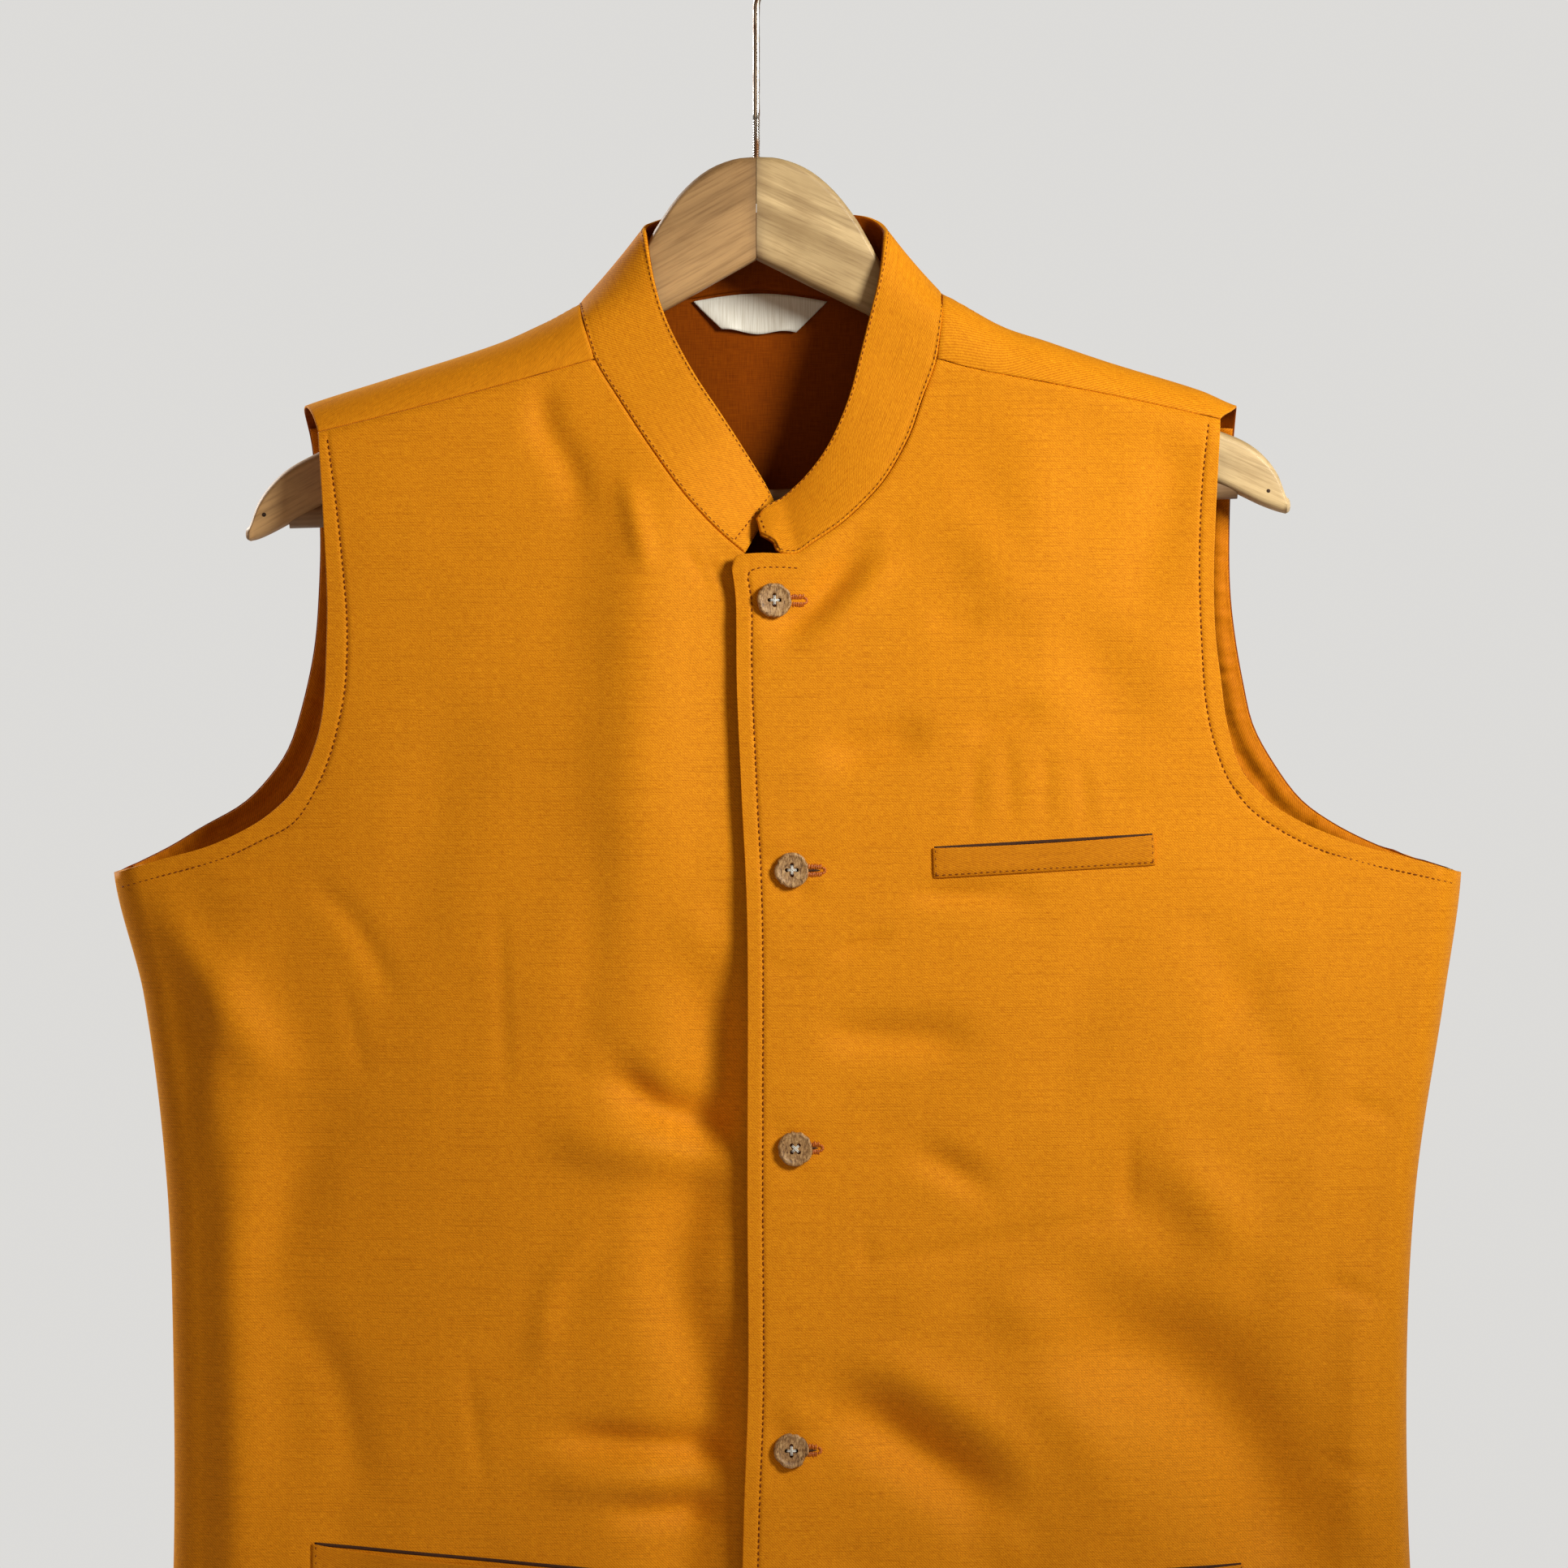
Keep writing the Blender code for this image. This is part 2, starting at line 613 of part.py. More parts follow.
def build_right_front(finish, parent):
    """The wearer's right front goes on under the placket."""
    seam = seam_line(RIGHT_SHOULDER_SEAM, SHOULDER_HALF_GAP)
    edges = (
        even_reader(((UNDER_EDGE[0][0], HEM_Z), (read_table(BODY_SECTIONS, HEM_Z, 1), HEM_Z))),
        chain_reader(((UNDER_TOP_SHARE, even_reader(UNDER_TOP)),
                      (NECK_SHARE, point_reader(RIGHT_NECK[:-1] + seam[:1])),
                      (1.0, even_reader(seam)))),
        even_reader(UNDER_EDGE),
        chain_reader(((ARMPIT_SHARE, side_reader(1)),
                      (1.0, even_reader(RIGHT_ARMHOLE[:-1] + seam[-1:])))),
    )
    columns = shares(RIGHT_COLUMNS) + list(FRONT_SIDE_SHARES)
    return wall_object("front_right", front_grid(right_front_point, edges, columns), CLOTH, finish, parent)


def back_neck():
    """The back's neck edge, from the right front seam round to the left one."""
    right, left = RIGHT_SHOULDER_SEAM[0], LEFT_SHOULDER_SEAM[0]
    start = [on_front(right[0], right[1] + SHOULDER_HALF_GAP), on_front(*NECK_TURN_RIGHT)]
    end = [on_front(*NECK_TURN_LEFT), on_front(left[0], left[1] + SHOULDER_HALF_GAP)]
    return start + [on_back(x, z) for x, z in BACK_NECK] + end


def back_side(column, armhole, seam):
    """One side of the back: its side seam, then its armhole up to the front."""
    side = side_reader(column)
    edge = [on_back(x, z) for x, z in armhole] + [seam[-1]]
    return chain_reader(((BACK_ARMPIT_SHARE, lambda fraction: Vector(on_back(*side(fraction)))),
                         (1.0, even_reader(edge))))


def back_edges():
    """The back's edges in x and running height, from wearer's right to left."""
    right_seam = [on_front(x, z) for x, z in seam_line(RIGHT_SHOULDER_SEAM, -SHOULDER_HALF_GAP)]
    left_seam = [on_front(x, z) for x, z in seam_line(LEFT_SHOULDER_SEAM, -SHOULDER_HALF_GAP)]
    hem = [on_back(read_table(BODY_SECTIONS, HEM_Z, column), HEM_Z) for column in (1, 2)]
    return (
        even_reader(hem),
        chain_reader(((BACK_NECK_START, even_reader(right_seam[::-1])),
                      (BACK_NECK_END, point_reader(back_neck())),
                      (1.0, even_reader(left_seam)))),
        back_side(1, BACK_RIGHT_ARMHOLE, right_seam),
        back_side(2, BACK_LEFT_ARMHOLE, left_seam),
    )


def neck_fan(s, t):
    """Moves the grid outward below the sides of the neck, whose edge turns back."""
    right = math.exp(-2 * ((s - NECK_FAN_RIGHT) / NECK_FAN_WIDTH) ** 2)
    left = math.exp(-2 * ((s - NECK_FAN_LEFT) / NECK_FAN_WIDTH) ** 2)
    return NECK_FAN * (left - right) * t * (1.0 - math.exp(-(1.0 - t) / NECK_FAN_FADE))


def build_back(finish, parent):
    """The back, in one piece, folds over the shoulders to the front seams."""
    edges = back_edges()
    columns = list(BACK_SIDE_SHARES) + shares(BACK_COLUMNS)[1:-1] + [1 - s for s in reversed(BACK_SIDE_SHARES)]
    grid = []
    for t in shares(BACK_ROWS):
        line = []
        for s in columns:
            x, running = patch_point(edges, s, t)
            line.append(back_point(x + neck_fan(s, t), running))
        grid.append(line)
    return wall_object("back", grid, CLOTH, finish, parent)


def neck_seam():
    """The points where the collar is sewn on, then its free left end."""
    points = [right_front_point(x, z) for x, z in RIGHT_NECK]
    points += [back_point(x, running) for x, running in back_neck()[1:-1]]
    points += [left_front_point(x, z) for x, z in reversed(LEFT_NECK)]
    return points + [Vector(point) for point in COLLAR_TAB]


def build_collar(finish, parent):
    """The stand collar, one band from end to end."""
    seams = neck_seam()
    grid = []
    for row in range(COLLAR_ROWS + 1):
        line = []
        for i in range((len(seams) - 1) * COLLAR_STEPS + 1):
            seam = spline_point(seams, i / COLLAR_STEPS)
            top = spline_point(COLLAR_TOP, i / COLLAR_STEPS)
            start = COLLAR_GAP / (top - seam).length
            line.append(seam.lerp(top, start + (1.0 - start) * row / COLLAR_ROWS))
        grid.append(line)
    return wall_object("collar", grid, COLLAR_CLOTH, finish, parent)


def strip_grid(corners, place, columns, rows, out):
    """A strip between four corners, laid on a panel and moved out from it."""
    low_left, low_right, high_left, high_right = (Vector(corner) for corner in corners)
    grid = []
    for i in range(rows + 1):
        line = []
        for j in range(columns + 1):
            low = low_left.lerp(low_right, j / columns)
            high = high_left.lerp(high_right, j / columns)
            spot = low.lerp(high, i / rows)
            line.append(place(*spot) + out)
        grid.append(line)
    return grid


def build_welts(finish, parent):
    """Each pocket opening is finished with a narrow welt on its front."""
    fronts = {"left": left_front_point, "right": right_front_point}
    out = Vector((0.0, -(CLOTH / 2 + SEAM_GAP + TRIM_CLOTH / 2 + WELT_EASE), 0.0))
    for name, (side, corners) in WELTS.items():
        grid = strip_grid(corners, fronts[side], WELT_STEPS, STRIP_ROWS, out)
        wall_object(name, grid, TRIM_CLOTH, finish, parent)


def build_label(finish, parent):
    """A bare woven label inside the back of the neck."""
    out = Vector((0.0, -(CLOTH / 2 + SEAM_GAP + LABEL_CLOTH / 2 + LABEL_EASE), 0.0))
    grid = strip_grid(LABEL_CORNERS, back_at, LABEL_STEPS, STRIP_ROWS, out)
    wall_object("label", grid, LABEL_CLOTH, finish, parent)


def build_facing(name, armhole, toward, finish, parent):
    """A strip of facing inside the back's armhole edge."""
    edge = even_reader(armhole)
    out = Vector((0.0, -(CLOTH / 2 + SEAM_GAP + TRIM_CLOTH / 2 + WELT_EASE), 0.0))
    grid = []
    for row in range(STRIP_ROWS + 1):
        line = []
        for i in range(FACING_STEPS + 1):
            share = FACING_START + (FACING_END - FACING_START) * i / FACING_STEPS
            here, ahead = edge(share), edge(min(share + FACING_LOOK, 1.0))
            run = (ahead - here).normalized()
            inward = Vector((run.y, -run.x)) * toward
            spot = here + inward * (FACING_INSET + FACING_WIDTH * row / STRIP_ROWS)
            line.append(back_at(*spot) + out)
        grid.append(line)
    wall_object(name, grid, TRIM_CLOTH, finish, parent)


def button_mesh():
    """A turned disc with a rounded rim and a dished middle."""
    mesh_data = bmesh.new()
    verts = [mesh_data.verts.new((radius * MM, 0.0, height * MM)) for radius, height in BUTTON_PROFILE]
    edges = [mesh_data.edges.new(pair) for pair in zip(verts, verts[1:])]
    bmesh.ops.spin(mesh_data, geom=verts + edges, axis=(0, 0, 1), cent=(0, 0, 0), steps=BUTTON_SIDES,
                   angle=math.tau, use_merge=True)
    bmesh.ops.remove_doubles(mesh_data, verts=mesh_data.verts, dist=0.00001)
    bmesh.ops.recalc_face_normals(mesh_data, faces=mesh_data.faces)
    mesh = bpy.data.meshes.new("button")
    mesh_data.to_mesh(mesh)
    mesh_data.free()
    mesh.shade_smooth()
    mesh.set_sharp_from_angle(angle=BUTTON_EDGE)
    return mesh


def hole_cutter():
    """Four small pins that cut the sewing holes."""
    mesh_data = bmesh.new()
    for quarter in range(4):
        angle = math.tau * quarter / 4
        centre = Vector((math.cos(angle), math.sin(angle), 0.0)) * HOLE_CIRCLE * MM
        place = Matrix.Translation(centre + Vector((0, 0, BUTTON_HEIGHT / 2 * MM)))
        bmesh.ops.create_cone(mesh_data, cap_ends=True, segments=HOLE_SIDES, radius1=HOLE_RADIUS * MM,
                              radius2=HOLE_RADIUS * MM, depth=3 * BUTTON_HEIGHT * MM, matrix=place)
    mesh = bpy.data.meshes.new("button_holes")
    mesh_data.to_mesh(mesh)
    mesh_data.free()
    return mesh


def add_cutter(name, mesh, parent):
    cutter = bpy.data.objects.new(name, mesh)
    bpy.context.scene.collection.objects.link(cutter)
    cutter.hide_render = True
    cutter.display_type = "WIRE"
    cutter.parent = parent
    return cutter


def cut(target, cutter):
    modifier = target.modifiers.new("cut", "BOOLEAN")
    modifier.operation = "DIFFERENCE"
    modifier.solver = "EXACT"
    modifier.object = cutter


def build_buttons(finish, parent):
    """Five shell buttons, each turned on its own thread."""
    mesh = button_mesh()
    mesh.materials.append(finish)
    holes = hole_cutter()
    for number, ((x, z), turn) in enumerate(zip(BUTTON_PLACES, HOLE_TURNS), start=1):
        spot = left_front_point(x, z)
        rise = left_front_point(x, z + BUTTON_REACH) - left_front_point(x, z - BUTTON_REACH)
        reach = left_front_point(x + BUTTON_REACH, z) - left_front_point(x - BUTTON_REACH, z)
        outward = reach.cross(rise).normalized()
        start = spot + outward * (CLOTH / 2 + BUTTON_STANDOFF)
        facing = outward.to_track_quat("Z", "Y") @ Matrix.Rotation(math.radians(turn), 3, "Z").to_quaternion()
        button = bpy.data.objects.new(f"button_{number}", mesh)
        bpy.context.scene.collection.objects.link(button)
        button.parent = parent
        button.location = start * MM
        button.rotation_mode = "QUATERNION"
        button.rotation_quaternion = facing
        cutter = add_cutter(f"button_{number}_holes", holes, button)
        cut(button, cutter)


def arm_middle(x):
    """How far forward or back the middle of an arm is."""
    return ARM_FRONT_Y + (ARM_BACK_Y - ARM_FRONT_Y) * abs(x) / ARM_REACH


def arm_section(x, top, bottom):
    """A rounded oblong across an arm."""
    half_y = ARM_THICKNESS / 2
    half_z = (top - bottom) / 2
    corner = min(ARM_ROUND, half_z * 0.9)
    points = []
    for quarter in range(4):
        side_y = half_y - corner if quarter in (0, 3) else corner - half_y
        side_z = half_z - corner if quarter in (0, 1) else corner - half_z
        for step in range(3):
            angle = math.radians(90 * quarter + 45 * step)
            points.append(Vector((x, arm_middle(x) + side_y + corner * math.cos(angle),
                                  (top + bottom) / 2 + side_z + corner * math.sin(angle))))
    return points


def loft_object(name, rings, finish, parent):
    """Joins rings of points into one closed object."""
    mesh_data = bmesh.new()
    made = [[mesh_data.verts.new(point * MM) for point in ring] for ring in rings]
    for first, second in zip(made, made[1:]):
        for i in range(len(first)):
            k = (i + 1) % len(first)
            mesh_data.faces.new((first[i], first[k], second[k], second[i]))
    mesh_data.faces.new(made[0])
    mesh_data.faces.new(list(reversed(made[-1])))
    return finish_object(name, mesh_data, finish, parent, HANGER_EDGE)


def rod_mesh(name, start, end, radius, sides):
    """A plain round rod between two points."""
    mesh_data = bmesh.new()
    run = (end - start) * MM
    place = Matrix.Translation((start + end) / 2 * MM) @ run.to_track_quat("Z", "Y").to_matrix().to_4x4()
    bmesh.ops.create_cone(mesh_data, cap_ends=True, segments=sides, radius1=radius * MM, radius2=radius * MM,
                          depth=run.length, matrix=place)
    mesh = bpy.data.meshes.new(name)
    mesh_data.to_mesh(mesh)
    mesh_data.free()
    mesh.shade_smooth()
    mesh.set_sharp_from_angle(angle=HANGER_EDGE)
    return mesh


def bar_point(share):
    (x1, z1), (x2, z2) = BAR_ENDS
    x = x1 + (x2 - x1) * share
    return Vector((x, arm_middle(ARM_REACH * BAR_ARM_SHARE), z1 + (z2 - z1) * share))


def build_arms(finish, parent):
    """Two mitred arms, bored for the bar's ends and for the hook's shank."""
    shank = rod_mesh("shank_bore", Vector((0, ARM_FRONT_Y, SHANK_HOLE_BOTTOM)),
                     Vector((0, ARM_FRONT_Y, SHANK_HOLE_TOP)), SHANK_HOLE, HOOK_SIDES)
    shank_cutter = add_cutter("shank_bore", shank, parent)
    run = (bar_point(1.0) - bar_point(0.0)).normalized()
    for name, sections, sign, end in (("hanger_arm_left", LEFT_ARM, 1, bar_point(1.0)),
                                      ("hanger_arm_right", RIGHT_ARM, -1, bar_point(0.0))):
        rings = [arm_section(x if x else sign * MITRE_GAP, top, bottom) for x, top, bottom in sections]
        arm = loft_object(name, rings, finish, parent)
        socket = rod_mesh(f"{name}_socket", end - run * sign * BAR_SOCKET, end + run * sign * SEAM_GAP, BAR_HOLE,
                          BAR_SIDES)
        cut(arm, shank_cutter)
        cut(arm, add_cutter(f"{name}_socket", socket, parent))


def build_bar(finish, parent):
    """The round bar between the ends of the arms."""
    mesh = rod_mesh("hanger_bar", bar_point(0.0), bar_point(1.0), BAR_RADIUS, BAR_SIDES)
    mesh.materials.append(finish)
    bar = bpy.data.objects.new("hanger_bar", mesh)
    bpy.context.scene.collection.objects.link(bar)
    bar.parent = parent


def hook_path():
    """The wire from its shank up round the crook to its tip."""
    centre_z = HOOK_WIRE - CROOK_RADIUS
    end = math.radians(CROOK_END)
    end_x, end_z = CROOK_RADIUS * math.cos(end), centre_z + CROOK_RADIUS * math.sin(end)
    turn = math.radians(-CROOK_END)
    straight = (end_x - NECK_BEND * (1 - math.cos(turn))) / math.sin(turn)
    bend_z = end_z - straight * math.cos(turn) - NECK_BEND * math.sin(turn)
    points = [(0.0, level) for level in SHANK_LEVELS]
    for i in range(BEND_STEPS + 1):
        angle = turn * i / BEND_STEPS
        points.append((NECK_BEND * (1 - math.cos(angle)), bend_z + NECK_BEND * math.sin(angle)))
    for i in range(CROOK_STEPS + 1):
        angle = end + (math.radians(CROOK_TIP) - end) * i / CROOK_STEPS
        points.append((CROOK_RADIUS * math.cos(angle), centre_z + CROOK_RADIUS * math.sin(angle)))
    return [Vector((x, ARM_FRONT_Y, z)) for x, z in points]


def build_hook(finish, parent):
    """A steel wire hook in the plane of the hanger."""
    path = hook_path()
    rings = []
    for i, point in enumerate(path):
        run = (path[min(i + 1, len(path) - 1)] - path[max(i - 1, 0)]).normalized()
        side = Vector((0.0, 1.0, 0.0))
        up = run.cross(side)
        ring = []
        for k in range(HOOK_SIDES):
            angle = math.tau * k / HOOK_SIDES
            ring.append(point + (side * math.cos(angle) + up * math.sin(angle)) * HOOK_WIRE)
        rings.append(ring)
    loft_object("hanger_hook", rings, finish, parent)


def build():
    clear_scene()
    cloth = material("orange_twill", (0.62, 0.24, 0.015), 0.75)
    facing = material("facing_cloth", (0.52, 0.18, 0.01), 0.8)
    shell = material("coconut_shell", (0.42, 0.22, 0.1), 0.55)
    ribbon = material("label_ribbon", (0.86, 0.84, 0.78), 0.6)
    wood = material("waxed_wood", (0.6, 0.38, 0.19), 0.5)
    steel = material("steel_wire", (0.56, 0.56, 0.55), 0.3, 1.0)
    jacket = bpy.data.objects.new("jacket", None)
    hanger = bpy.data.objects.new("hanger", None)
    for empty in (jacket, hanger):
        bpy.context.scene.collection.objects.link(empty)
        empty.location.y = -ARM_FRONT_Y * MM
    build_back(cloth, jacket)
    build_right_front(cloth, jacket)
    build_left_front(cloth, jacket)
    build_collar(cloth, jacket)
    build_welts(cloth, jacket)
    build_label(ribbon, jacket)
    build_facing("facing_right", BACK_RIGHT_ARMHOLE, 1, facing, jacket)
    build_facing("facing_left", BACK_LEFT_ARMHOLE, -1, facing, jacket)
    build_buttons(shell, jacket)
    build_arms(wood, hanger)
    build_bar(wood, hanger)
    build_hook(steel, hanger)


build()
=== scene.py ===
import math
import random

import bmesh
import bpy
import numpy as np
from mathutils import Matrix, Vector, noise


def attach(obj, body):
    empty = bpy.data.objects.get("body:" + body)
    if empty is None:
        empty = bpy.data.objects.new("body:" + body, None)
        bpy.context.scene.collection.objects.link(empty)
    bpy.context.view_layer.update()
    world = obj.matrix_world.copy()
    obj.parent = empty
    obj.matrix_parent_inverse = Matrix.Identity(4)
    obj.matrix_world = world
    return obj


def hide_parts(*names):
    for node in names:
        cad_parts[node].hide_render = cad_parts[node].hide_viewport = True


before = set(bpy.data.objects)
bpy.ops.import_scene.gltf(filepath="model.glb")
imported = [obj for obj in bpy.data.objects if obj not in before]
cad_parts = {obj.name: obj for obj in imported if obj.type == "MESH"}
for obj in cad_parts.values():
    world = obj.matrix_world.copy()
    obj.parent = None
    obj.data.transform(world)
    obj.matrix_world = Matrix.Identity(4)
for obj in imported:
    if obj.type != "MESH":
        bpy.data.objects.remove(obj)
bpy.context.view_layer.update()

# The studio. A level camera looks at the chest from in front, and a soft key
# light stands at the upper right, with a wide fill, a light behind for the
# back and a pale floor under the hem. Lengths below are in millimetres.
MM = 0.001
VIEW_X, VIEW_Z = 11.8, -376.2
VIEW_WIDTH = 670.4
VIEW_DISTANCE = 3400.0
SENSOR = 36.0
FLOOR_Z = -1080.0
PALE = (0.8, 0.79, 0.77, 1.0)


def aim(thing, target):
    """Turns a camera or light towards a point."""
    run = Vector(target) - thing.location
    thing.rotation_euler = run.to_track_quat("-Z", "Y").to_euler()


def soft_light(name, place, target, size, power, colour):
    """A square soft box."""
    lamp = bpy.data.lights.new(name, "AREA")
    lamp.size = size
    lamp.energy = power
    lamp.color = colour
    box = bpy.data.objects.new(name, lamp)
    box.location = place
    aim(box, target)
    bpy.context.scene.collection.objects.link(box)


def new_material(name):
    """An empty node material with its shader."""
    made = bpy.data.materials.new(name)
    made.use_nodes = True
    return made, made.node_tree, made.node_tree.nodes["Principled BSDF"]


camera = bpy.data.objects.new("camera", bpy.data.cameras.new("camera"))
camera.data.sensor_width = SENSOR
camera.data.lens = SENSOR * VIEW_DISTANCE / VIEW_WIDTH
camera.data.clip_end = 50.0
camera.location = (VIEW_X * MM, -VIEW_DISTANCE * MM, VIEW_Z * MM)
camera.rotation_euler = (math.radians(90), 0.0, 0.0)
bpy.context.scene.collection.objects.link(camera)
bpy.context.scene.camera = camera
bpy.context.scene.view_settings.view_transform = "Standard"

key = bpy.data.lights.new("key", "SPOT")
key.energy = 105.0
key.color = (1.0, 0.99, 0.9)
key.shadow_soft_size = 0.24
key.spot_size = math.radians(56)
key.spot_blend = 1.0
key_box = bpy.data.objects.new("key", key)
key_box.location = (1.04, -0.96, 0.22)
aim(key_box, (0.04, 0.0, -0.24))
bpy.context.scene.collection.objects.link(key_box)
soft_light("fill", (-0.9, -2.4, 0.1), (0.0, 0.0, -0.45), 1.6, 4.8, (1.0, 0.66, 0.4))
soft_light("rear_key", (-1.3, 1.1, 0.4), (0.0, 0.0, -0.4), 0.7, 30.0, (1.0, 0.97, 0.93))
soft_light("rear_fill", (1.6, 1.4, -0.3), (0.0, 0.0, -0.45), 1.5, 9.0, (0.96, 0.98, 1.0))

world = bpy.data.worlds.new("studio")
world.use_nodes = True
sky = world.node_tree
seen = sky.nodes.new("ShaderNodeLightPath")
soft = sky.nodes["Background"]
soft.inputs["Color"].default_value = (1.0, 0.76, 0.54, 1.0)
soft.inputs["Strength"].default_value = 0.11
plain = sky.nodes.new("ShaderNodeBackground")
plain.inputs["Color"].default_value = PALE
plain.inputs["Strength"].default_value = 0.9
either = sky.nodes.new("ShaderNodeMixShader")
sky.links.new(seen.outputs["Is Camera Ray"], either.inputs["Fac"])
sky.links.new(soft.outputs["Background"], either.inputs[1])
sky.links.new(plain.outputs["Background"], either.inputs[2])
sky.links.new(either.outputs["Shader"], sky.nodes["World Output"].inputs["Surface"])
bpy.context.scene.world = world

bpy.ops.mesh.primitive_plane_add(size=4.0, location=(0.0, 0.0, FLOOR_Z * MM))
floor = bpy.context.object
floor.name = "studio_floor"
floor_finish, _, floor_shader = new_material("pale_floor")
floor_shader.inputs["Base Color"].default_value = PALE
floor_shader.inputs["Roughness"].default_value = 0.9
floor_shader.inputs["Emission Color"].default_value = PALE
floor_shader.inputs["Emission Strength"].default_value = 0.08
floor.data.materials.append(floor_finish)

# The hanger's two wooden arms. Each is sawn from a board, rounded along its
# edges and waxed, and they are mitred and glued at the middle. Their edges
# are worn and dirty.
GARMENT_LINE_Y = 4.0
ARM_THICKNESS = 14.0
ARM_ROUND = 4.0
ARM_FRONT_Y = -4.0
ARM_BACK_Y = 5.0
ARM_REACH = 222.0
MITRE_GAP = 0.12
ARM_RING = 40
ARM_STEP = 2.5
LEFT_ARM = (
    (0, -108.3, -152.1), (10, -109, -157), (22, -113.6, -163), (33, -122.5, -168.3),
    (43, -135.2, -173.2), (48, -144, -175.7), (54, -154.6, -178.6), (64, -165.4, -183.4),
    (78, -174.2, -190), (105, -188, -203), (150, -205, -224.7), (198, -225, -248),
    (208, -229, -252.8), (216, -234.5, -256.6), (223, -243.2, -259.2), (227, -253.5, -260.2),
)
RIGHT_ARM = (
    (0, -108.3, -152.1), (-10, -109.4, -157.7), (-22, -114.6, -164.4), (-33, -124.4, -170.5),
    (-42, -137, -175.5), (-47, -145.8, -178.3), (-53, -156.6, -181.7), (-62, -167.4, -186.8),
    (-76, -178.4, -194.7), (-104, -192.4, -210.5), (-140, -208.8, -231), (-187, -233.9, -257.5),
    (-200, -241, -264.6), (-208, -248.2, -268.8), (-213.5, -256.2, -271.2), (-217, -266, -272),
)


def read_table(table, key, column):
    """Smoothly reads a column of a table whose first column is its key."""
    rows = np.array(sorted(table))
    keys, values = rows[:, 0], rows[:, column]
    key = np.clip(np.asarray(key, dtype=float), keys[0], keys[-1])
    i = np.clip(np.searchsorted(keys, key, side="left") - 1, 0, len(keys) - 2)
    before, after = np.maximum(i - 1, 0), np.minimum(i + 2, len(keys) - 1)
    span = keys[i + 1] - keys[i]
    t = (key - keys[i]) / span
    slope_low = (values[i + 1] - values[before]) / (keys[i + 1] - keys[before]) * span
    slope_high = (values[after] - values[i]) / (keys[after] - keys[i]) * span
    return ((2 * t ** 3 - 3 * t ** 2 + 1) * values[i] + (t ** 3 - 2 * t ** 2 + t) * slope_low
            + (3 * t ** 2 - 2 * t ** 3) * values[i + 1] + (t ** 3 - t ** 2) * slope_high)


def to_metres(points):
    """Moves points of the part's own frame onto the hook's line, in metres."""
    return (np.asarray(points, dtype=float) + (0.0, GARMENT_LINE_Y, 0.0)) * MM


def add_object(name, mesh, *finishes):
    """Links a smooth shaded mesh and lets it ride on the one body."""
    mesh.shade_smooth()
    for finish in finishes:
        mesh.materials.append(finish)
    made = bpy.data.objects.new(name, mesh)
    bpy.context.scene.collection.objects.link(made)
    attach(made, "root")
    return made


def outward_mesh(name, points, faces):
    """A closed mesh of points in millimetres, with its faces turned outward."""
    mesh = bpy.data.meshes.new(name)
    mesh.from_pydata(to_metres(points).tolist(), [], faces)
    made = bmesh.new()
    made.from_mesh(mesh)
    bmesh.ops.recalc_face_normals(made, faces=made.faces)
    made.to_mesh(mesh)
    made.free()
    return mesh


def ring_mesh(name, rings, sharp_angle=40.0):
    """Joins rings of points, in millimetres, into one closed mesh."""
    count = len(rings[0])
    faces = []
    for i in range(len(rings) - 1):
        for k in range(count):
            m = (k + 1) % count
            faces.append((i * count + k, i * count + m, (i + 1) * count + m, (i + 1) * count + k))
    faces.append(tuple(range(count)))
    faces.append(tuple(reversed(range((len(rings) - 1) * count, len(rings) * count))))
    mesh = outward_mesh(name, np.concatenate(rings), faces)
    mesh.set_sharp_from_angle(angle=math.radians(sharp_angle))
    return mesh


def arm_middle(x):
    return ARM_FRONT_Y + (ARM_BACK_Y - ARM_FRONT_Y) * abs(x) / ARM_REACH


def arm_ring(x, top, bottom):
    """A rounded oblong across an arm."""
    half_y, half_z = ARM_THICKNESS / 2, (top - bottom) / 2
    corner = min(ARM_ROUND, half_z * 0.9)
    ring = []
    for quarter in range(4):
        side_y = half_y - corner if quarter in (0, 3) else corner - half_y
        side_z = half_z - corner if quarter in (0, 1) else corner - half_z
        for step in range(ARM_RING // 4):
            angle = math.radians(90 * quarter + 90 * step / (ARM_RING // 4 - 1))
            ring.append((x, arm_middle(x) + side_y + corner * math.cos(angle),
                         (top + bottom) / 2 + side_z + corner * math.sin(angle)))
    return np.array(ring)


def object_place(tree):
    return tree.nodes.new("ShaderNodeTexCoord").outputs["Object"]


def link_value(tree, node, name, value):
    """Sets an input, or links it if the value is an output of another node."""
    socket = node.inputs[name]
    if isinstance(value, bpy.types.NodeSocket):
        tree.links.new(value, socket)
    else:
        socket.default_value = value


def noise_node(tree, coordinates, scale, detail=3.0, roughness=0.55, distortion=0.0):
    node = tree.nodes.new("ShaderNodeTexNoise")
    tree.links.new(coordinates, node.inputs["Vector"])
    node.inputs["Scale"].default_value = scale
    node.inputs["Detail"].default_value = detail
    node.inputs["Roughness"].default_value = roughness
    node.inputs["Distortion"].default_value = distortion
    return node.outputs["Fac"]


def mapped(tree, coordinates, scale, turn=(0.0, 0.0, 0.0)):
    """Stretched and turned coordinates."""
    node = tree.nodes.new("ShaderNodeMapping")
    tree.links.new(coordinates, node.inputs["Vector"])
    node.inputs["Scale"].default_value = scale
    node.inputs["Rotation"].default_value = turn
    return node.outputs["Vector"]


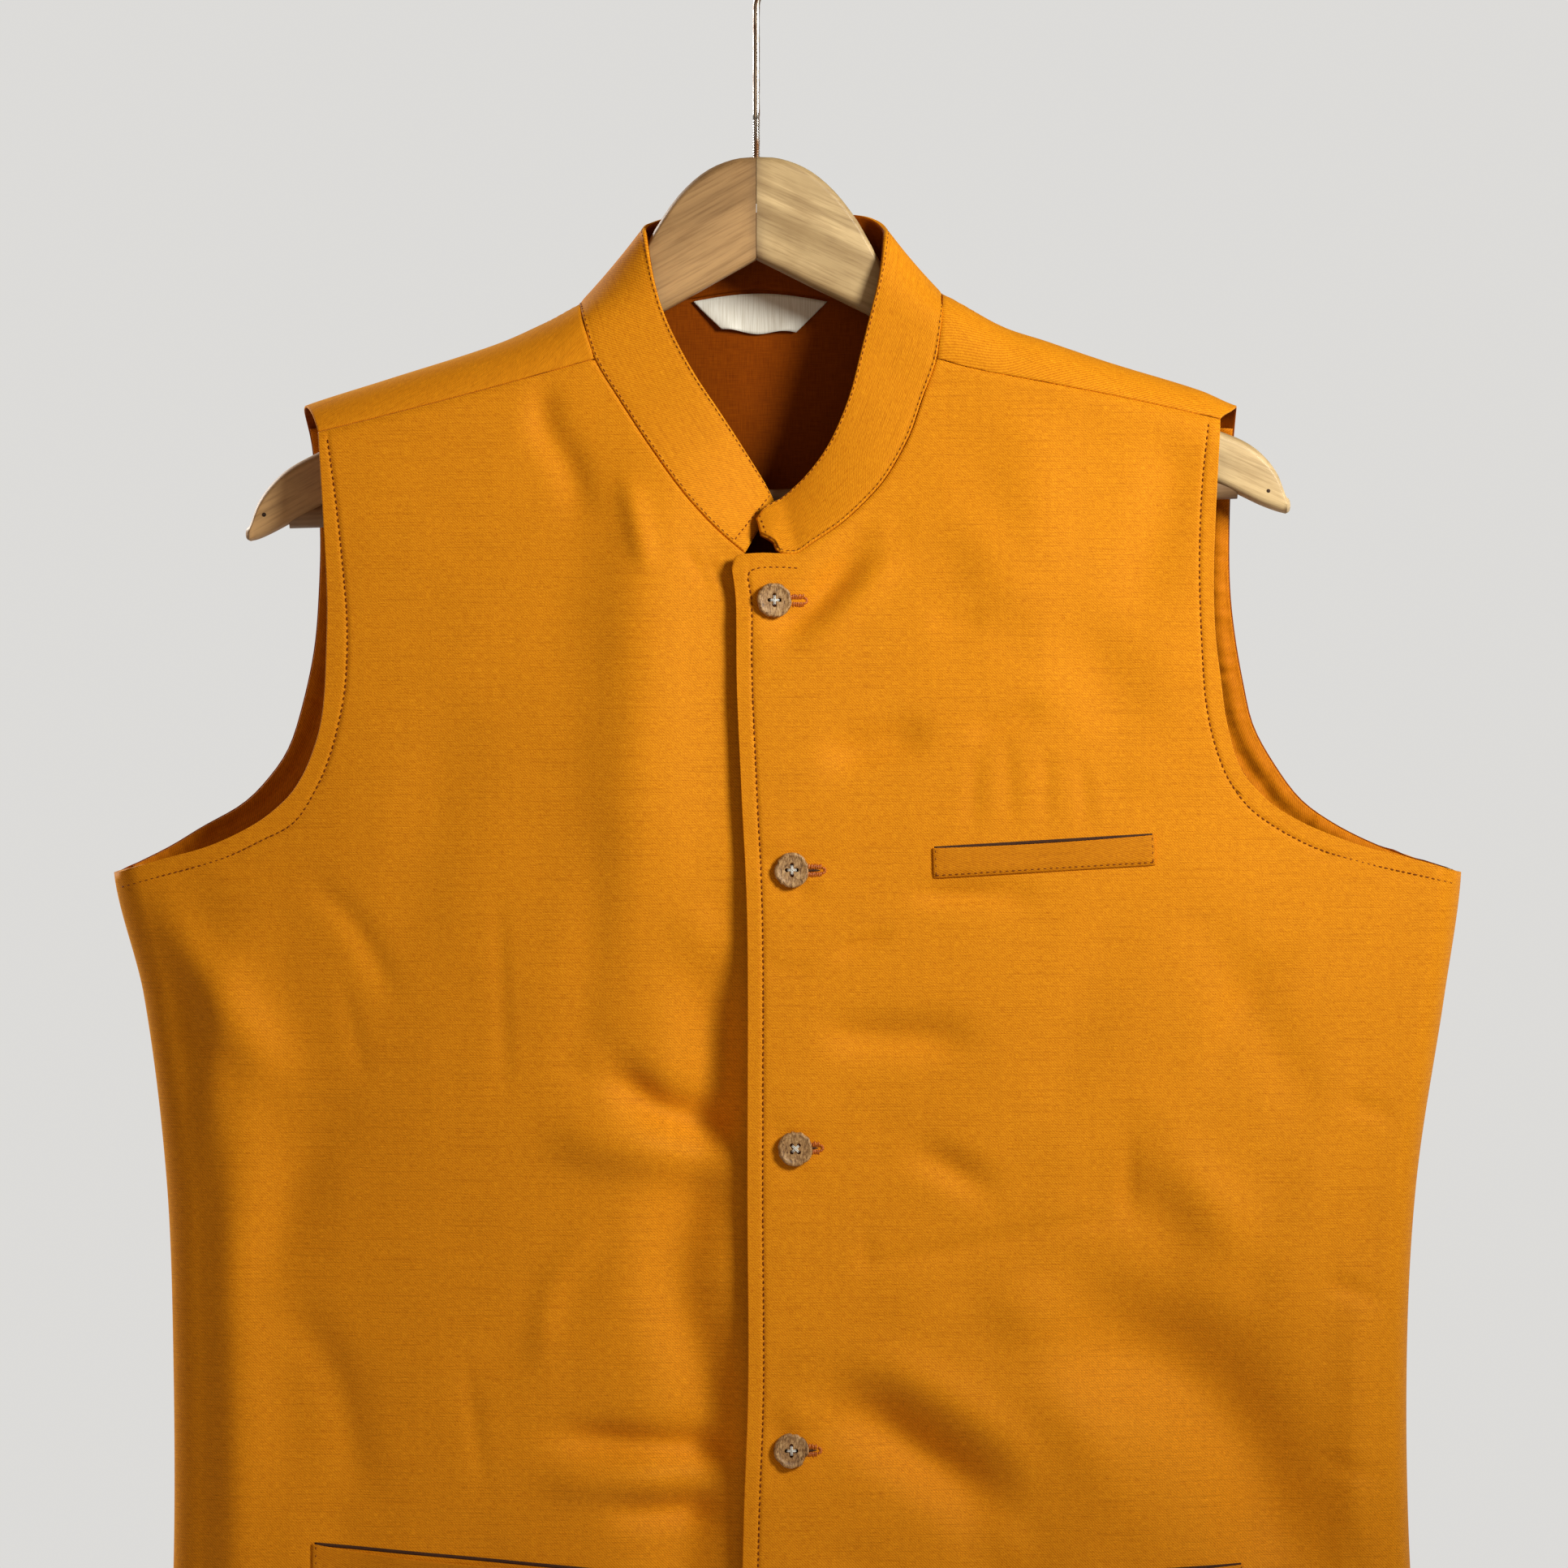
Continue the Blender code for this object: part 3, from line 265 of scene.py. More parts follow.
def ramp(tree, value, stops):
    """A colour ramp with rows of a place and a colour."""
    node = tree.nodes.new("ShaderNodeValToRGB")
    tree.links.new(value, node.inputs["Fac"])
    while len(node.color_ramp.elements) < len(stops):
        node.color_ramp.elements.new(0.5)
    for element, (place, colour) in zip(node.color_ramp.elements, stops):
        element.position = place
        element.color = (*colour, 1.0) if len(colour) == 3 else colour
    return node.outputs["Color"]


def blend_colour(tree, kind, factor, first, second):
    node = tree.nodes.new("ShaderNodeMix")
    node.data_type = "RGBA"
    node.blend_type = kind
    link_value(tree, node, 0, factor)
    link_value(tree, node, 6, first)
    link_value(tree, node, 7, second)
    return node.outputs[2]


def math_node(tree, kind, first, second=0.0, third=0.0):
    node = tree.nodes.new("ShaderNodeMath")
    node.operation = kind
    link_value(tree, node, 0, first)
    link_value(tree, node, 1, second)
    link_value(tree, node, 2, third)
    return node.outputs[0]


def weighted(tree, first, first_share, second, second_share):
    """The sum of two values, each times its share."""
    return math_node(tree, "ADD", math_node(tree, "MULTIPLY", first, first_share),
                     math_node(tree, "MULTIPLY", second, second_share))


def tinted(tree, under, share, value, stops):
    """A colour multiplied, by a share, with a ramp of a value."""
    return blend_colour(tree, "MULTIPLY", share, under, ramp(tree, value, stops))


def set_inputs(tree, shader, values):
    """Sets named inputs to plain values or to outputs of other nodes."""
    for name, value in values.items():
        link_value(tree, shader, name, value)


def bump_node(tree, height, strength, distance, under=None):
    node = tree.nodes.new("ShaderNodeBump")
    node.inputs["Strength"].default_value = strength
    node.inputs["Distance"].default_value = distance
    tree.links.new(height, node.inputs["Height"])
    if under is not None:
        tree.links.new(under, node.inputs["Normal"])
    return node.outputs["Normal"]


def waxed_wood(name, slope, dark, light, seed_shift):
    """Pale wood with its grain along the arm, dark pores and worn dirty edges."""
    made, tree, shader = new_material(name)
    place = object_place(tree)
    shifted = tree.nodes.new("ShaderNodeVectorMath")
    shifted.inputs[1].default_value = seed_shift
    tree.links.new(place, shifted.inputs[0])
    along = mapped(tree, shifted.outputs[0], (1.0, 1.0, 1.0), (0.0, slope, 0.0))
    rings = noise_node(tree, mapped(tree, along, (5.0, 60.0, 60.0)), 1.0, 4.0, 0.6, 0.6)
    fibres = noise_node(tree, mapped(tree, along, (26.0, 900.0, 900.0)), 1.0, 3.0, 0.65)
    blotch = noise_node(tree, shifted.outputs[0], 22.0, 4.0, 0.6)
    halfway = tuple((a + b) / 2 for a, b in zip(dark, light))
    grain = ramp(tree, rings, ((0.34, dark), (0.5, halfway), (0.62, light)))
    porous = tinted(tree, grain, 0.55, fibres, ((0.36, (0.62, 0.56, 0.5)), (0.52, (1.0, 1.0, 1.0))))
    stained = tinted(tree, porous, 0.5, blotch, ((0.36, (0.55, 0.46, 0.38)), (0.56, (1.0, 1.0, 1.0))))
    edge = tree.nodes.new("ShaderNodeNewGeometry").outputs["Pointiness"]
    rubbed = noise_node(tree, shifted.outputs[0], 60.0, 4.0, 0.7)
    worn = math_node(tree, "MULTIPLY", ramp(tree, edge, ((0.5, (0, 0, 0)), (0.56, (1, 1, 1)))), rubbed)
    set_inputs(tree, shader, {
        "Base Color": blend_colour(tree, "MIX", worn, stained, (0.16, 0.09, 0.045, 1.0)),
        "Roughness": ramp(tree, blotch, ((0.3, (0.42,) * 3), (0.7, (0.62,) * 3))),
        "Normal": bump_node(tree, weighted(tree, fibres, 0.7, rings, 0.5), 0.35, 0.0003),
        "Coat Weight": 0.12,
        "Coat Roughness": 0.35,
    })
    return made


def arm_object(name, table, sign, finish):
    """One arm as a fine rounded board."""
    end = abs(table[-1][0])
    steps = int(end / ARM_STEP)
    places = [MITRE_GAP + (end - MITRE_GAP) * (1 - (1 - i / steps) ** 1.35) for i in range(steps + 1)]
    rings = []
    for x in places:
        top = float(read_table(table, sign * x, 1))
        bottom = float(read_table(table, sign * x, 2))
        rings.append(arm_ring(sign * x, top, bottom))
    tip = rings[-1]
    middle = tip.mean(axis=0)
    for shrink, out in ((0.86, 0.9), (0.6, 1.5), (0.25, 1.8)):
        rings.append(middle + (tip - middle) * shrink + (sign * out, 0.0, 0.0))
    return add_object(name, ring_mesh(name, rings), finish)


light_wood = waxed_wood("waxed_wood_light", math.radians(-24),
                        (0.42, 0.275, 0.12), (0.84, 0.62, 0.325), (0.4, 0.0, 0.0))
brown_wood = waxed_wood("waxed_wood_brown", math.radians(29),
                        (0.3, 0.165, 0.062), (0.68, 0.41, 0.18), (0.0, 0.3, 0.7))
for side, table, sign, finish in (("left", LEFT_ARM, 1, light_wood), ("right", RIGHT_ARM, -1, brown_wood)):
    arm = arm_object(f"arm_{side}", table, sign, finish)
    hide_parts(f"hanger_arm_{side}")

# Two small iron nails are driven into the arms, one near each tip. They are
# nearly flush with the wood and have gone dark.
NAILS = ((-210.6, -261.0, 1.0), (219.0, -250.8, 0.9))
NAIL_PROFILE = ((0.3, -0.3), (1.0, -0.1), (0.85, 0.12), (0.4, 0.2))
NAIL_SIDES = 16


def speckled(name, scale, dark, light, roughness, detail=3.0, bump=0.0):
    """A material of fine speckles between two colours, and its shader."""
    made, tree, shader = new_material(name)
    speckle = noise_node(tree, object_place(tree), scale, detail)
    tree.links.new(ramp(tree, speckle, ((0.3, dark), (0.7, light))), shader.inputs["Base Color"])
    shader.inputs["Roughness"].default_value = roughness
    if bump:
        tree.links.new(bump_node(tree, speckle, bump, 0.0001), shader.inputs["Normal"])
    return made, shader


def level_circle(x, y, z, radius, sides):
    """A ring of points upright and square to the depth, from its right side up."""
    return np.array([(x + radius * math.cos(a), y, z + radius * math.sin(a))
                     for a in np.linspace(0, math.tau, sides + 1)[:-1]])


dark_metal, dark_shader = speckled("dark_nail", 900.0, (0.02, 0.012, 0.01), (0.09, 0.05, 0.03), 0.6)
dark_shader.inputs["Metallic"].default_value = 0.6
for number, (x, z, radius) in enumerate(NAILS, start=1):
    face_y = arm_middle(x) - ARM_THICKNESS / 2
    rings = [level_circle(x, face_y - out, z, radius * inset, NAIL_SIDES) for inset, out in NAIL_PROFILE]
    nail = add_object(f"nail_{number}", ring_mesh("nail", rings), dark_metal)

# The lower bar is a turned dowel let into both arms. It is older wood than
# the arms, with its grain along its length.
BAR_RADIUS = 5.2
BAR_RINGS = 61
BAR_SIDES = 32
BAR_ENDS = ((-200.0, -261.5), (206.0, -248.8))
bar_wood = waxed_wood("waxed_wood_bar", math.radians(1.8),
                      (0.3, 0.17, 0.08), (0.56, 0.36, 0.19), (0.2, 0.5, 0.1))
bar_y = arm_middle(ARM_REACH * 0.9)
bar_rings = []
for share in np.linspace(0.0, 1.0, BAR_RINGS):
    x = BAR_ENDS[0][0] + (BAR_ENDS[1][0] - BAR_ENDS[0][0]) * share
    z = BAR_ENDS[0][1] + (BAR_ENDS[1][1] - BAR_ENDS[0][1]) * share
    radius = BAR_RADIUS * (1.0 + 0.012 * math.sin(9 * share) + 0.008 * math.sin(23 * share))
    bar_rings.append(np.array([(x, bar_y + radius * math.cos(a), z + radius * math.sin(a))
                               for a in np.linspace(0, math.tau, BAR_SIDES + 1)[:-1]]))
bar = add_object("bar", ring_mesh("bar", bar_rings), bar_wood)
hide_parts("hanger_bar")

# The hook is bent from plated steel wire 3 mm thick. The lowest part of its
# shank is threaded and screwed down into the glued joint of the arms.
HOOK_WIRE = 1.5
CROOK_RADIUS = 19.0
CROOK_TIP = 205.0
CROOK_END = -62.0
NECK_BEND = 8.0
SHANK_BOTTOM = -128.0
THREAD_TOP = -92.0
THREAD_PITCH = 1.1
THREAD_DEPTH = 0.16
WIRE_SIDES = 28


def hook_path():
    """The wire's middle line and, for each point, whether it is threaded."""
    centre_z = HOOK_WIRE - CROOK_RADIUS
    end = math.radians(CROOK_END)
    end_x, end_z = CROOK_RADIUS * math.cos(end), centre_z + CROOK_RADIUS * math.sin(end)
    turn = -end
    straight = (end_x - NECK_BEND * (1 - math.cos(turn))) / math.sin(turn)
    bend_z = end_z - straight * math.cos(turn) - NECK_BEND * math.sin(turn)
    points = [(0.0, z) for z in np.arange(SHANK_BOTTOM, THREAD_TOP, THREAD_PITCH / 6)]
    points += [(0.0, z) for z in np.linspace(THREAD_TOP, bend_z, 24)[:-1]]
    for angle in np.linspace(0.0, turn, 12):
        points.append((NECK_BEND * (1 - math.cos(angle)), bend_z + NECK_BEND * math.sin(angle)))
    for angle in np.linspace(end, math.radians(CROOK_TIP), 72):
        points.append((CROOK_RADIUS * math.cos(angle), centre_z + CROOK_RADIUS * math.sin(angle)))
    return [Vector((x, ARM_FRONT_Y, z)) for x, z in points]


def tube_rings(path, radius_at, sides, across=Vector((0.0, 1.0, 0.0))):
    """Rings of a tube along a path, with a radius for each point and angle."""
    rings = []
    for i, point in enumerate(path):
        run = (path[min(i + 1, len(path) - 1)] - path[max(i - 1, 0)]).normalized()
        side = (across - run * across.dot(run)).normalized()
        up = run.cross(side)
        ring = []
        for k in range(sides):
            angle = math.tau * k / sides
            radius = radius_at(i, point, angle)
            ring.append(point + (side * math.cos(angle) + up * math.sin(angle)) * radius)
        rings.append(np.array([tuple(p) for p in ring]))
    return rings


def wire_radius(index, point, angle):
    """The plain wire, or its rolled thread low on the shank."""
    if point.z > THREAD_TOP or abs(point.x) > 0.1:
        return HOOK_WIRE
    phase = math.tau * (point.z - SHANK_BOTTOM) / THREAD_PITCH - angle
    return HOOK_WIRE - THREAD_DEPTH * (0.5 + 0.5 * math.cos(phase))


steel, steel_tree, steel_shader = new_material("plated_wire")
steel_place = mapped(steel_tree, object_place(steel_tree), (500.0, 500.0, 90.0))
rust = noise_node(steel_tree, steel_place, 1.0, 4.0, 0.65)
set_inputs(steel_tree, steel_shader, {
    "Base Color": ramp(steel_tree, rust, ((0.36, (0.2, 0.1, 0.05)), (0.47, (0.42, 0.38, 0.35)),
                                          (0.6, (0.66, 0.66, 0.65)))),
    "Roughness": ramp(steel_tree, rust, ((0.36, (0.55,) * 3), (0.55, (0.18,) * 3))),
    "Normal": bump_node(steel_tree, rust, 0.15, 0.0001),
    "Metallic": 1.0,
})
hook = add_object("hook", ring_mesh("hook", tube_rings(hook_path(), wire_radius, WIRE_SIDES)), steel)
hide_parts("hanger_hook")

# The back of the jacket is cut in one piece and runs over the shoulders to the
# front seams. It hangs from the hanger's arms, with long soft drags from the
# armholes and the hem. Outside is the twill, inside is its plain lining, whose
# dark colour is painted shade for the inside of the garment.
CLOTH = 1.2
SIDE_HALF_GAP = 0.06
SHOULDER_HALF_GAP = 0.06
HEM_Z = -872.0
ARMPIT_Z = -414.1
SIDE_ROUND = 12.0
SHOULDER_ROUND = 22.0
CROWN_POWER = 2.5
# Level sections: height, right side, left side, front depth, back depth
BODY_SECTIONS = (
    (-872, -255, 290, 26, 20),
    (-711, -249, 279.3, 28, 21),
    (-620, -249.1, 277.9, 30, 22),
    (-545, -252, 282.1, 31, 23),
    (-467, -261.6, 293.9, 32, 24),
    (-414.1, -274.5, 301.2, 31, 23),
    (-340, -277, 303, 26, 18),
    (-278, -277, 303, 18, 11),
    (-220, -277, 303, 8, 6),
    (-150, -277, 303, 4, 4),
)
# The highest line of the cloth over the shoulders: x, z
SHOULDER_RIDGE = (
    (-280, -240), (-206, -219.5), (-187, -212.8), (-157.2, -203.4), (-111, -188.5), (-89.2, -178.8),
    (-75.6, -171.5), (-40, -155), (0, -147), (40, -151.5), (80, -167.3), (104.8, -180.8),
    (123.2, -187), (151.3, -196.5), (189.8, -208.3), (205.4, -214.9), (300, -240),
)
RIGHT_SHOULDER_SEAM = ((-69.1, -195.1), (-111.0, -206.9), (-157.2, -219.0), (-186.7, -226.2))
LEFT_SHOULDER_SEAM = ((77.0, -195.1), (94.0, -199.6), (128.4, -206.2), (160.3, -212.4), (197.8, -220.8))
BACK_RIGHT_ARMHOLE = (
    (-274.5, ARMPIT_Z), (-253, -403.3), (-238.7, -394.6), (-221.4, -384.6), (-209.9, -373.1),
    (-201.3, -359.9), (-195.4, -341.2), (-190.5, -318), (-188.4, -294), (-187.8, -265.2),
    (-190.8, -233.6), (-193.6, -215.6),
)
BACK_LEFT_ARMHOLE = (
    (301.2, ARMPIT_Z), (283.2, -408.2), (266.1, -401.9), (248.8, -393.2), (234.2, -382.5),
    (222.8, -367.2), (214.1, -351.2), (209.9, -334.2), (205.8, -311), (203.6, -288.1), (203.6, -256.5),
    (205.4, -214.9),
)
NECK_TURN_RIGHT = (-74.0, -178.5)
NECK_TURN_LEFT = (79.0, -176.0)
BACK_NECK = (
    (-75.4, -171.5), (-74.6, -175.5), (-64, -174.5), (-50, -171), (-27, -167), (0, -163.5),
    (28, -166.6), (52, -170.2), (68, -172.6), (78.6, -171.8), (79.4, -167.4),
)
# Folds: x, z, turn in degrees, half length, half width, depth out
BACK_FOLDS = (
    (-165, -462, 58, 60, 16, -5.4),
    (175, -480, -60, 66, 16, -5.7),
    (-8, -300, 90, 80, 26, -4.1),
    (-70, -700, 82, 120, 20, -7.4),
    (84, -735, 97, 110, 18, -6.8),
    (10, -610, 88, 90, 20, 4.3),
    (205, -640, 100, 80, 14, 4.3),
    (-196, -600, 80, 70, 14, 4.1),
    (-120, -505, 48, 34, 7, -2.7),
    (-205, -520, 64, 40, 6, -2.4),
    (128, -430, -50, 30, 7, -2.6),
    (222, -530, -70, 36, 6, -2.2),
    (-96, -250, 74, 34, 8, -2.4),
    (104, -262, -68, 38, 9, -2.6),
    (-146, -262, 60, 24, 7, -1.6),
    (158, -284, -58, 26, 7, -1.9),
    (-30, -430, 12, 44, 9, -2.6),
    (64, -548, -16, 38, 8, -2.6),
    (-24, -770, 84, 60, 9, -2.8),
    (150, -800, 98, 52, 8, -2.7),
    (-160, -800, 86, 52, 9, -3),
)
# Small waves all over: span, height
RIPPLES = ((34.0, 0.42), (13.0, 0.12))
# How far beside a place its slope is read
PROBE = 0.6


def ease(value):
    held = np.clip(value, 0.0, 1.0)
    return held * held * (3.0 - 2.0 * held)


def spline_point(points, place):
    """The point of a Catmull-Rom curve at a place counted in its points."""
    last = len(points) - 1
    index = min(int(place), last - 1)
    t = place - index
    p1, p2 = Vector(points[index]), Vector(points[index + 1])
    p0 = Vector(points[index - 1]) if index > 0 else p1 * 2 - p2
    p3 = Vector(points[index + 2]) if index + 2 <= last else p2 * 2 - p1
    return 0.5 * (2 * p1 + (p2 - p0) * t + (2 * p0 - 5 * p1 + 4 * p2 - p3) * t ** 2
                  + (3 * p1 - p0 - 3 * p2 + p3) * t ** 3)


def curve_samples(points, steps=12):
    """Points along the smooth curve, and the length up to each."""
    count = (len(points) - 1) * steps
    samples = np.array([tuple(spline_point(points, i / steps)) for i in range(count + 1)])
    lengths = np.concatenate(([0.0], np.cumsum(np.linalg.norm(np.diff(samples, axis=0), axis=1))))
    return samples, lengths


def even_reader(points):
    """Returns a function that reads the curve at a fraction of its length."""
    samples, lengths = curve_samples(points)

    def read(fraction):
        wanted = min(max(fraction, 0.0), 1.0) * lengths[-1]
        return np.array([np.interp(wanted, lengths, samples[:, k]) for k in range(samples.shape[1])])

    return read


def point_reader(points):
    """Returns a function that reads the curve evenly by its points."""
    def read(fraction):
        return np.array(spline_point(points, min(max(fraction, 0.0), 1.0) * (len(points) - 1)))

    return read


def chain_reader(parts):
    """Joins curves end to end: rows of the share where each ends, and its reader."""
    def read(fraction):
        low = 0.0
        for high, reader in parts:
            if fraction <= high + 1e-9:
                return reader((fraction - low) / (high - low))
            low = high
        return parts[-1][1](1.0)

    return read


def side_reader(column):
    """Returns a function that reads a side seam from the hem up to the armpit."""
    def read(fraction):
        z = HEM_Z + (ARMPIT_Z - HEM_Z) * fraction
        return np.array((float(read_table(BODY_SECTIONS, z, column)), z))

    return read


def seam_line(points, drop):
    """A seam read evenly from its points and moved down by a little."""
    read = even_reader(points)
    spots = [read(i / 12) for i in range(13)]
    return tuple((spot[0], spot[1] - drop) for spot in spots)


def fold_depth(folds, x, z):
    """How far the folds push the cloth out at a place."""
    depth = np.zeros(np.broadcast(x, z).shape)
    for fold_x, fold_z, turn, half_length, half_width, push in folds:
        angle = math.radians(turn)
        along = (x - fold_x) * math.cos(angle) + (z - fold_z) * math.sin(angle)
        across = (z - fold_z) * math.cos(angle) - (x - fold_x) * math.sin(angle)
        depth = depth + push * np.exp(-(across / half_width) ** 2 - (along / half_length) ** 4)
    return depth


def ripple(x, z, shift):
    """Small uneven waves all over the cloth."""
    flat_x, flat_z = np.broadcast_arrays(x, z)
    total = np.zeros(flat_x.shape)
    for span, height in RIPPLES:
        waves = [noise.noise((a / span, b / span, shift)) for a, b in zip(flat_x.ravel(), flat_z.ravel())]
        total = total + height * np.array(waves).reshape(flat_x.shape)
    return total


def side_distance(x, z):
    """The middle of the body, its half width and the way in from its side."""
    right = read_table(BODY_SECTIONS, z, 1)
    left = read_table(BODY_SECTIONS, z, 2)
    middle, half = (left + right) / 2, (left - right) / 2
    return middle, half, np.maximum(half - np.abs(x - middle), 0.0)


def shell_depth(x, z, column):
    """How far the smooth body stands from the middle plane at a place."""
    middle, half, inward = side_distance(x, z)
    rounding = np.minimum(inward, SIDE_ROUND)
    side = np.sqrt(SIDE_ROUND ** 2 - (SIDE_ROUND - rounding) ** 2)
    crown = 1.0 - np.minimum(np.abs(x - middle) / half, 1.0) ** CROWN_POWER
    return SIDE_HALF_GAP + side + read_table(BODY_SECTIONS, z, column) * crown


def shoulder_share(drop):
    near = np.clip(drop / SHOULDER_ROUND, 0.0, 1.0)
    return np.sqrt(1.0 - (1.0 - near) ** 2)


def calm(x, z):
    """Fades the folds out at the side seams and near the shoulder seams."""
    inward = side_distance(x, z)[2]
    drop = read_table(SHOULDER_RIDGE, x, 1) - z
    return ease(inward / 30.0) * ease((drop - 16.0) / 26.0)


def run_of_drop(drop):
    """The length of cloth from the ridge down to a drop below it."""
    bent = SHOULDER_ROUND * np.arccos(np.clip(1.0 - drop / SHOULDER_ROUND, -1.0, 1.0))
    return np.where(drop < SHOULDER_ROUND, bent, drop + SHOULDER_ROUND * (math.pi / 2 - 1))


def drop_of_run(run):
    """The drop below the ridge after a length of cloth."""
    bent = SHOULDER_ROUND * (1.0 - np.cos(run / SHOULDER_ROUND))
    return np.where(run < SHOULDER_ROUND * math.pi / 2, bent, run - SHOULDER_ROUND * (math.pi / 2 - 1))


def on_back(x, z):
    ridge = float(read_table(SHOULDER_RIDGE, x, 1))
    return np.array((x, ridge - float(run_of_drop(ridge - z))))


def on_front(x, z):
    ridge = float(read_table(SHOULDER_RIDGE, x, 1))
    return np.array((x, ridge + float(run_of_drop(ridge - z))))


def back_place(x, running):
    """Points of the back for x and the running height of its cloth."""
    ridge = read_table(SHOULDER_RIDGE, x, 1)
    z = ridge - drop_of_run(np.abs(ridge - running))
    share = shoulder_share(ridge - z)
    push = (fold_depth(BACK_FOLDS, x, z) + ripple(x, z, 7.3)) * calm(x, z)
    behind = shell_depth(x, z, 4) * share + push
    before = -shell_depth(x, z, 3) * share
    return np.stack([x + 0 * z, np.where(running > ridge, before, behind), z], axis=-1)


def cloth_place(x, z):
    """Where the weave of the cloth lies: level and upright lengths in metres."""
    middle, half, inward = side_distance(x, z)
    bent = SIDE_ROUND * (math.pi / 2 - np.arccos(np.clip(1.0 - inward / SIDE_ROUND, -1.0, 1.0)))
    flat = np.minimum(np.abs(x - middle), half - SIDE_ROUND)
    level = middle + np.sign(x - middle) * (flat + np.where(inward < SIDE_ROUND, bent, 0.0))
    return np.stack([level, z + 0 * level], axis=-1) * MM


def patch_grid(edges, columns, rows):
    """Places inside four edges: bottom, top, inner side and outer side."""
    bottom, top, inner, outer = edges
    low = np.array([bottom(s) for s in columns])[None]
    high = np.array([top(s) for s in columns])[None]
    near = np.array([inner(t) for t in rows])[:, None]
    far = np.array([outer(t) for t in rows])[:, None]
    s = np.array(columns)[None, :, None]
    t = np.array(rows)[:, None, None]
    corners = (bottom(0) * (1 - s) + bottom(1) * s) * (1 - t) + (top(0) * (1 - s) + top(1) * s) * t
    return low * (1 - t) + high * t + near * (1 - s) + far * s - corners


def grid_normals(points, outward_y):
    """Unit normals of a grid of points, pointing out of the garment."""
    along = np.gradient(points, axis=0)
    across = np.gradient(points, axis=1)
    normals = np.cross(across, along)
    normals /= np.maximum(np.linalg.norm(normals, axis=-1, keepdims=True), 1e-9)
    probe = normals[len(normals) // 4, normals.shape[1] // 2, 1]
    return normals * np.sign(probe * outward_y)


def cloth_object(name, points, weave, thickness, outward_y, finishes, edge_share=0.4, normals=None):
    """A thin closed shell around a grid of middle points, with soft edges."""
    if normals is None:
        normals = grid_normals(points, outward_y)
    rows, columns = points.shape[:2]
    half = np.full((rows, columns, 1), thickness / 2)
    for edge in (half[0], half[-1], half[:, 0], half[:, -1]):
        edge *= edge_share
    both = np.concatenate([(points + normals * half * way).reshape(-1, 3) for way in (1, -1)])
    index = np.arange(rows * columns).reshape(rows, columns)
    a, b, c, d = index[:-1, :-1], index[:-1, 1:], index[1:, 1:], index[1:, :-1]
    outer = np.stack([a, b, c, d], axis=-1).reshape(-1, 4)
    facing = np.cross(points[0, 1] - points[0, 0], points[1, 0] - points[0, 0])
    if np.dot(facing, normals[0, 0]) < 0:
        outer = outer[:, ::-1]
    inner = outer[:, ::-1] + rows * columns
    border = np.concatenate((index[0, :-1], index[:-1, -1], index[-1, :0:-1], index[:0:-1, 0]))
    following = np.roll(border, -1)
    rim = np.stack([following, border, border + rows * columns, following + rows * columns], axis=-1)
    if np.dot(facing, normals[0, 0]) < 0:
        rim = rim[:, ::-1]
    faces = np.concatenate((outer, inner, rim))
    mesh = bpy.data.meshes.new(name)
    mesh.from_pydata(to_metres(both).tolist(), [], faces.tolist())
    kinds = np.concatenate((np.zeros(len(outer)), np.ones(len(inner)), np.zeros(len(rim)))).astype(np.int32)
    mesh.polygons.foreach_set("material_index", kinds if len(finishes) > 1 else kinds * 0)
    layer = mesh.uv_layers.new(name="weave")
    corner = np.zeros(len(mesh.loops), dtype=np.int32)
    mesh.loops.foreach_get("vertex_index", corner)
    flat = np.concatenate((weave.reshape(-1, 2), weave.reshape(-1, 2)))[corner]
    layer.data.foreach_set("uv", flat.ravel().astype(np.float32))
    return add_object(name, mesh, *finishes)


def yarn(tree, weave, long, thin, shift):
    """Uneven yarns: noise drawn out along one direction."""
    return noise_node(tree, mapped(tree, weave, (1 / (long * MM), 1 / (thin * MM), shift)), 1.0, 2.0, 0.5)


def weave_place(tree):
    """The places in the weave that cloth_object writes."""
    uv = tree.nodes.new("ShaderNodeUVMap")
    uv.uv_map = "weave"
    return uv.outputs["UV"]


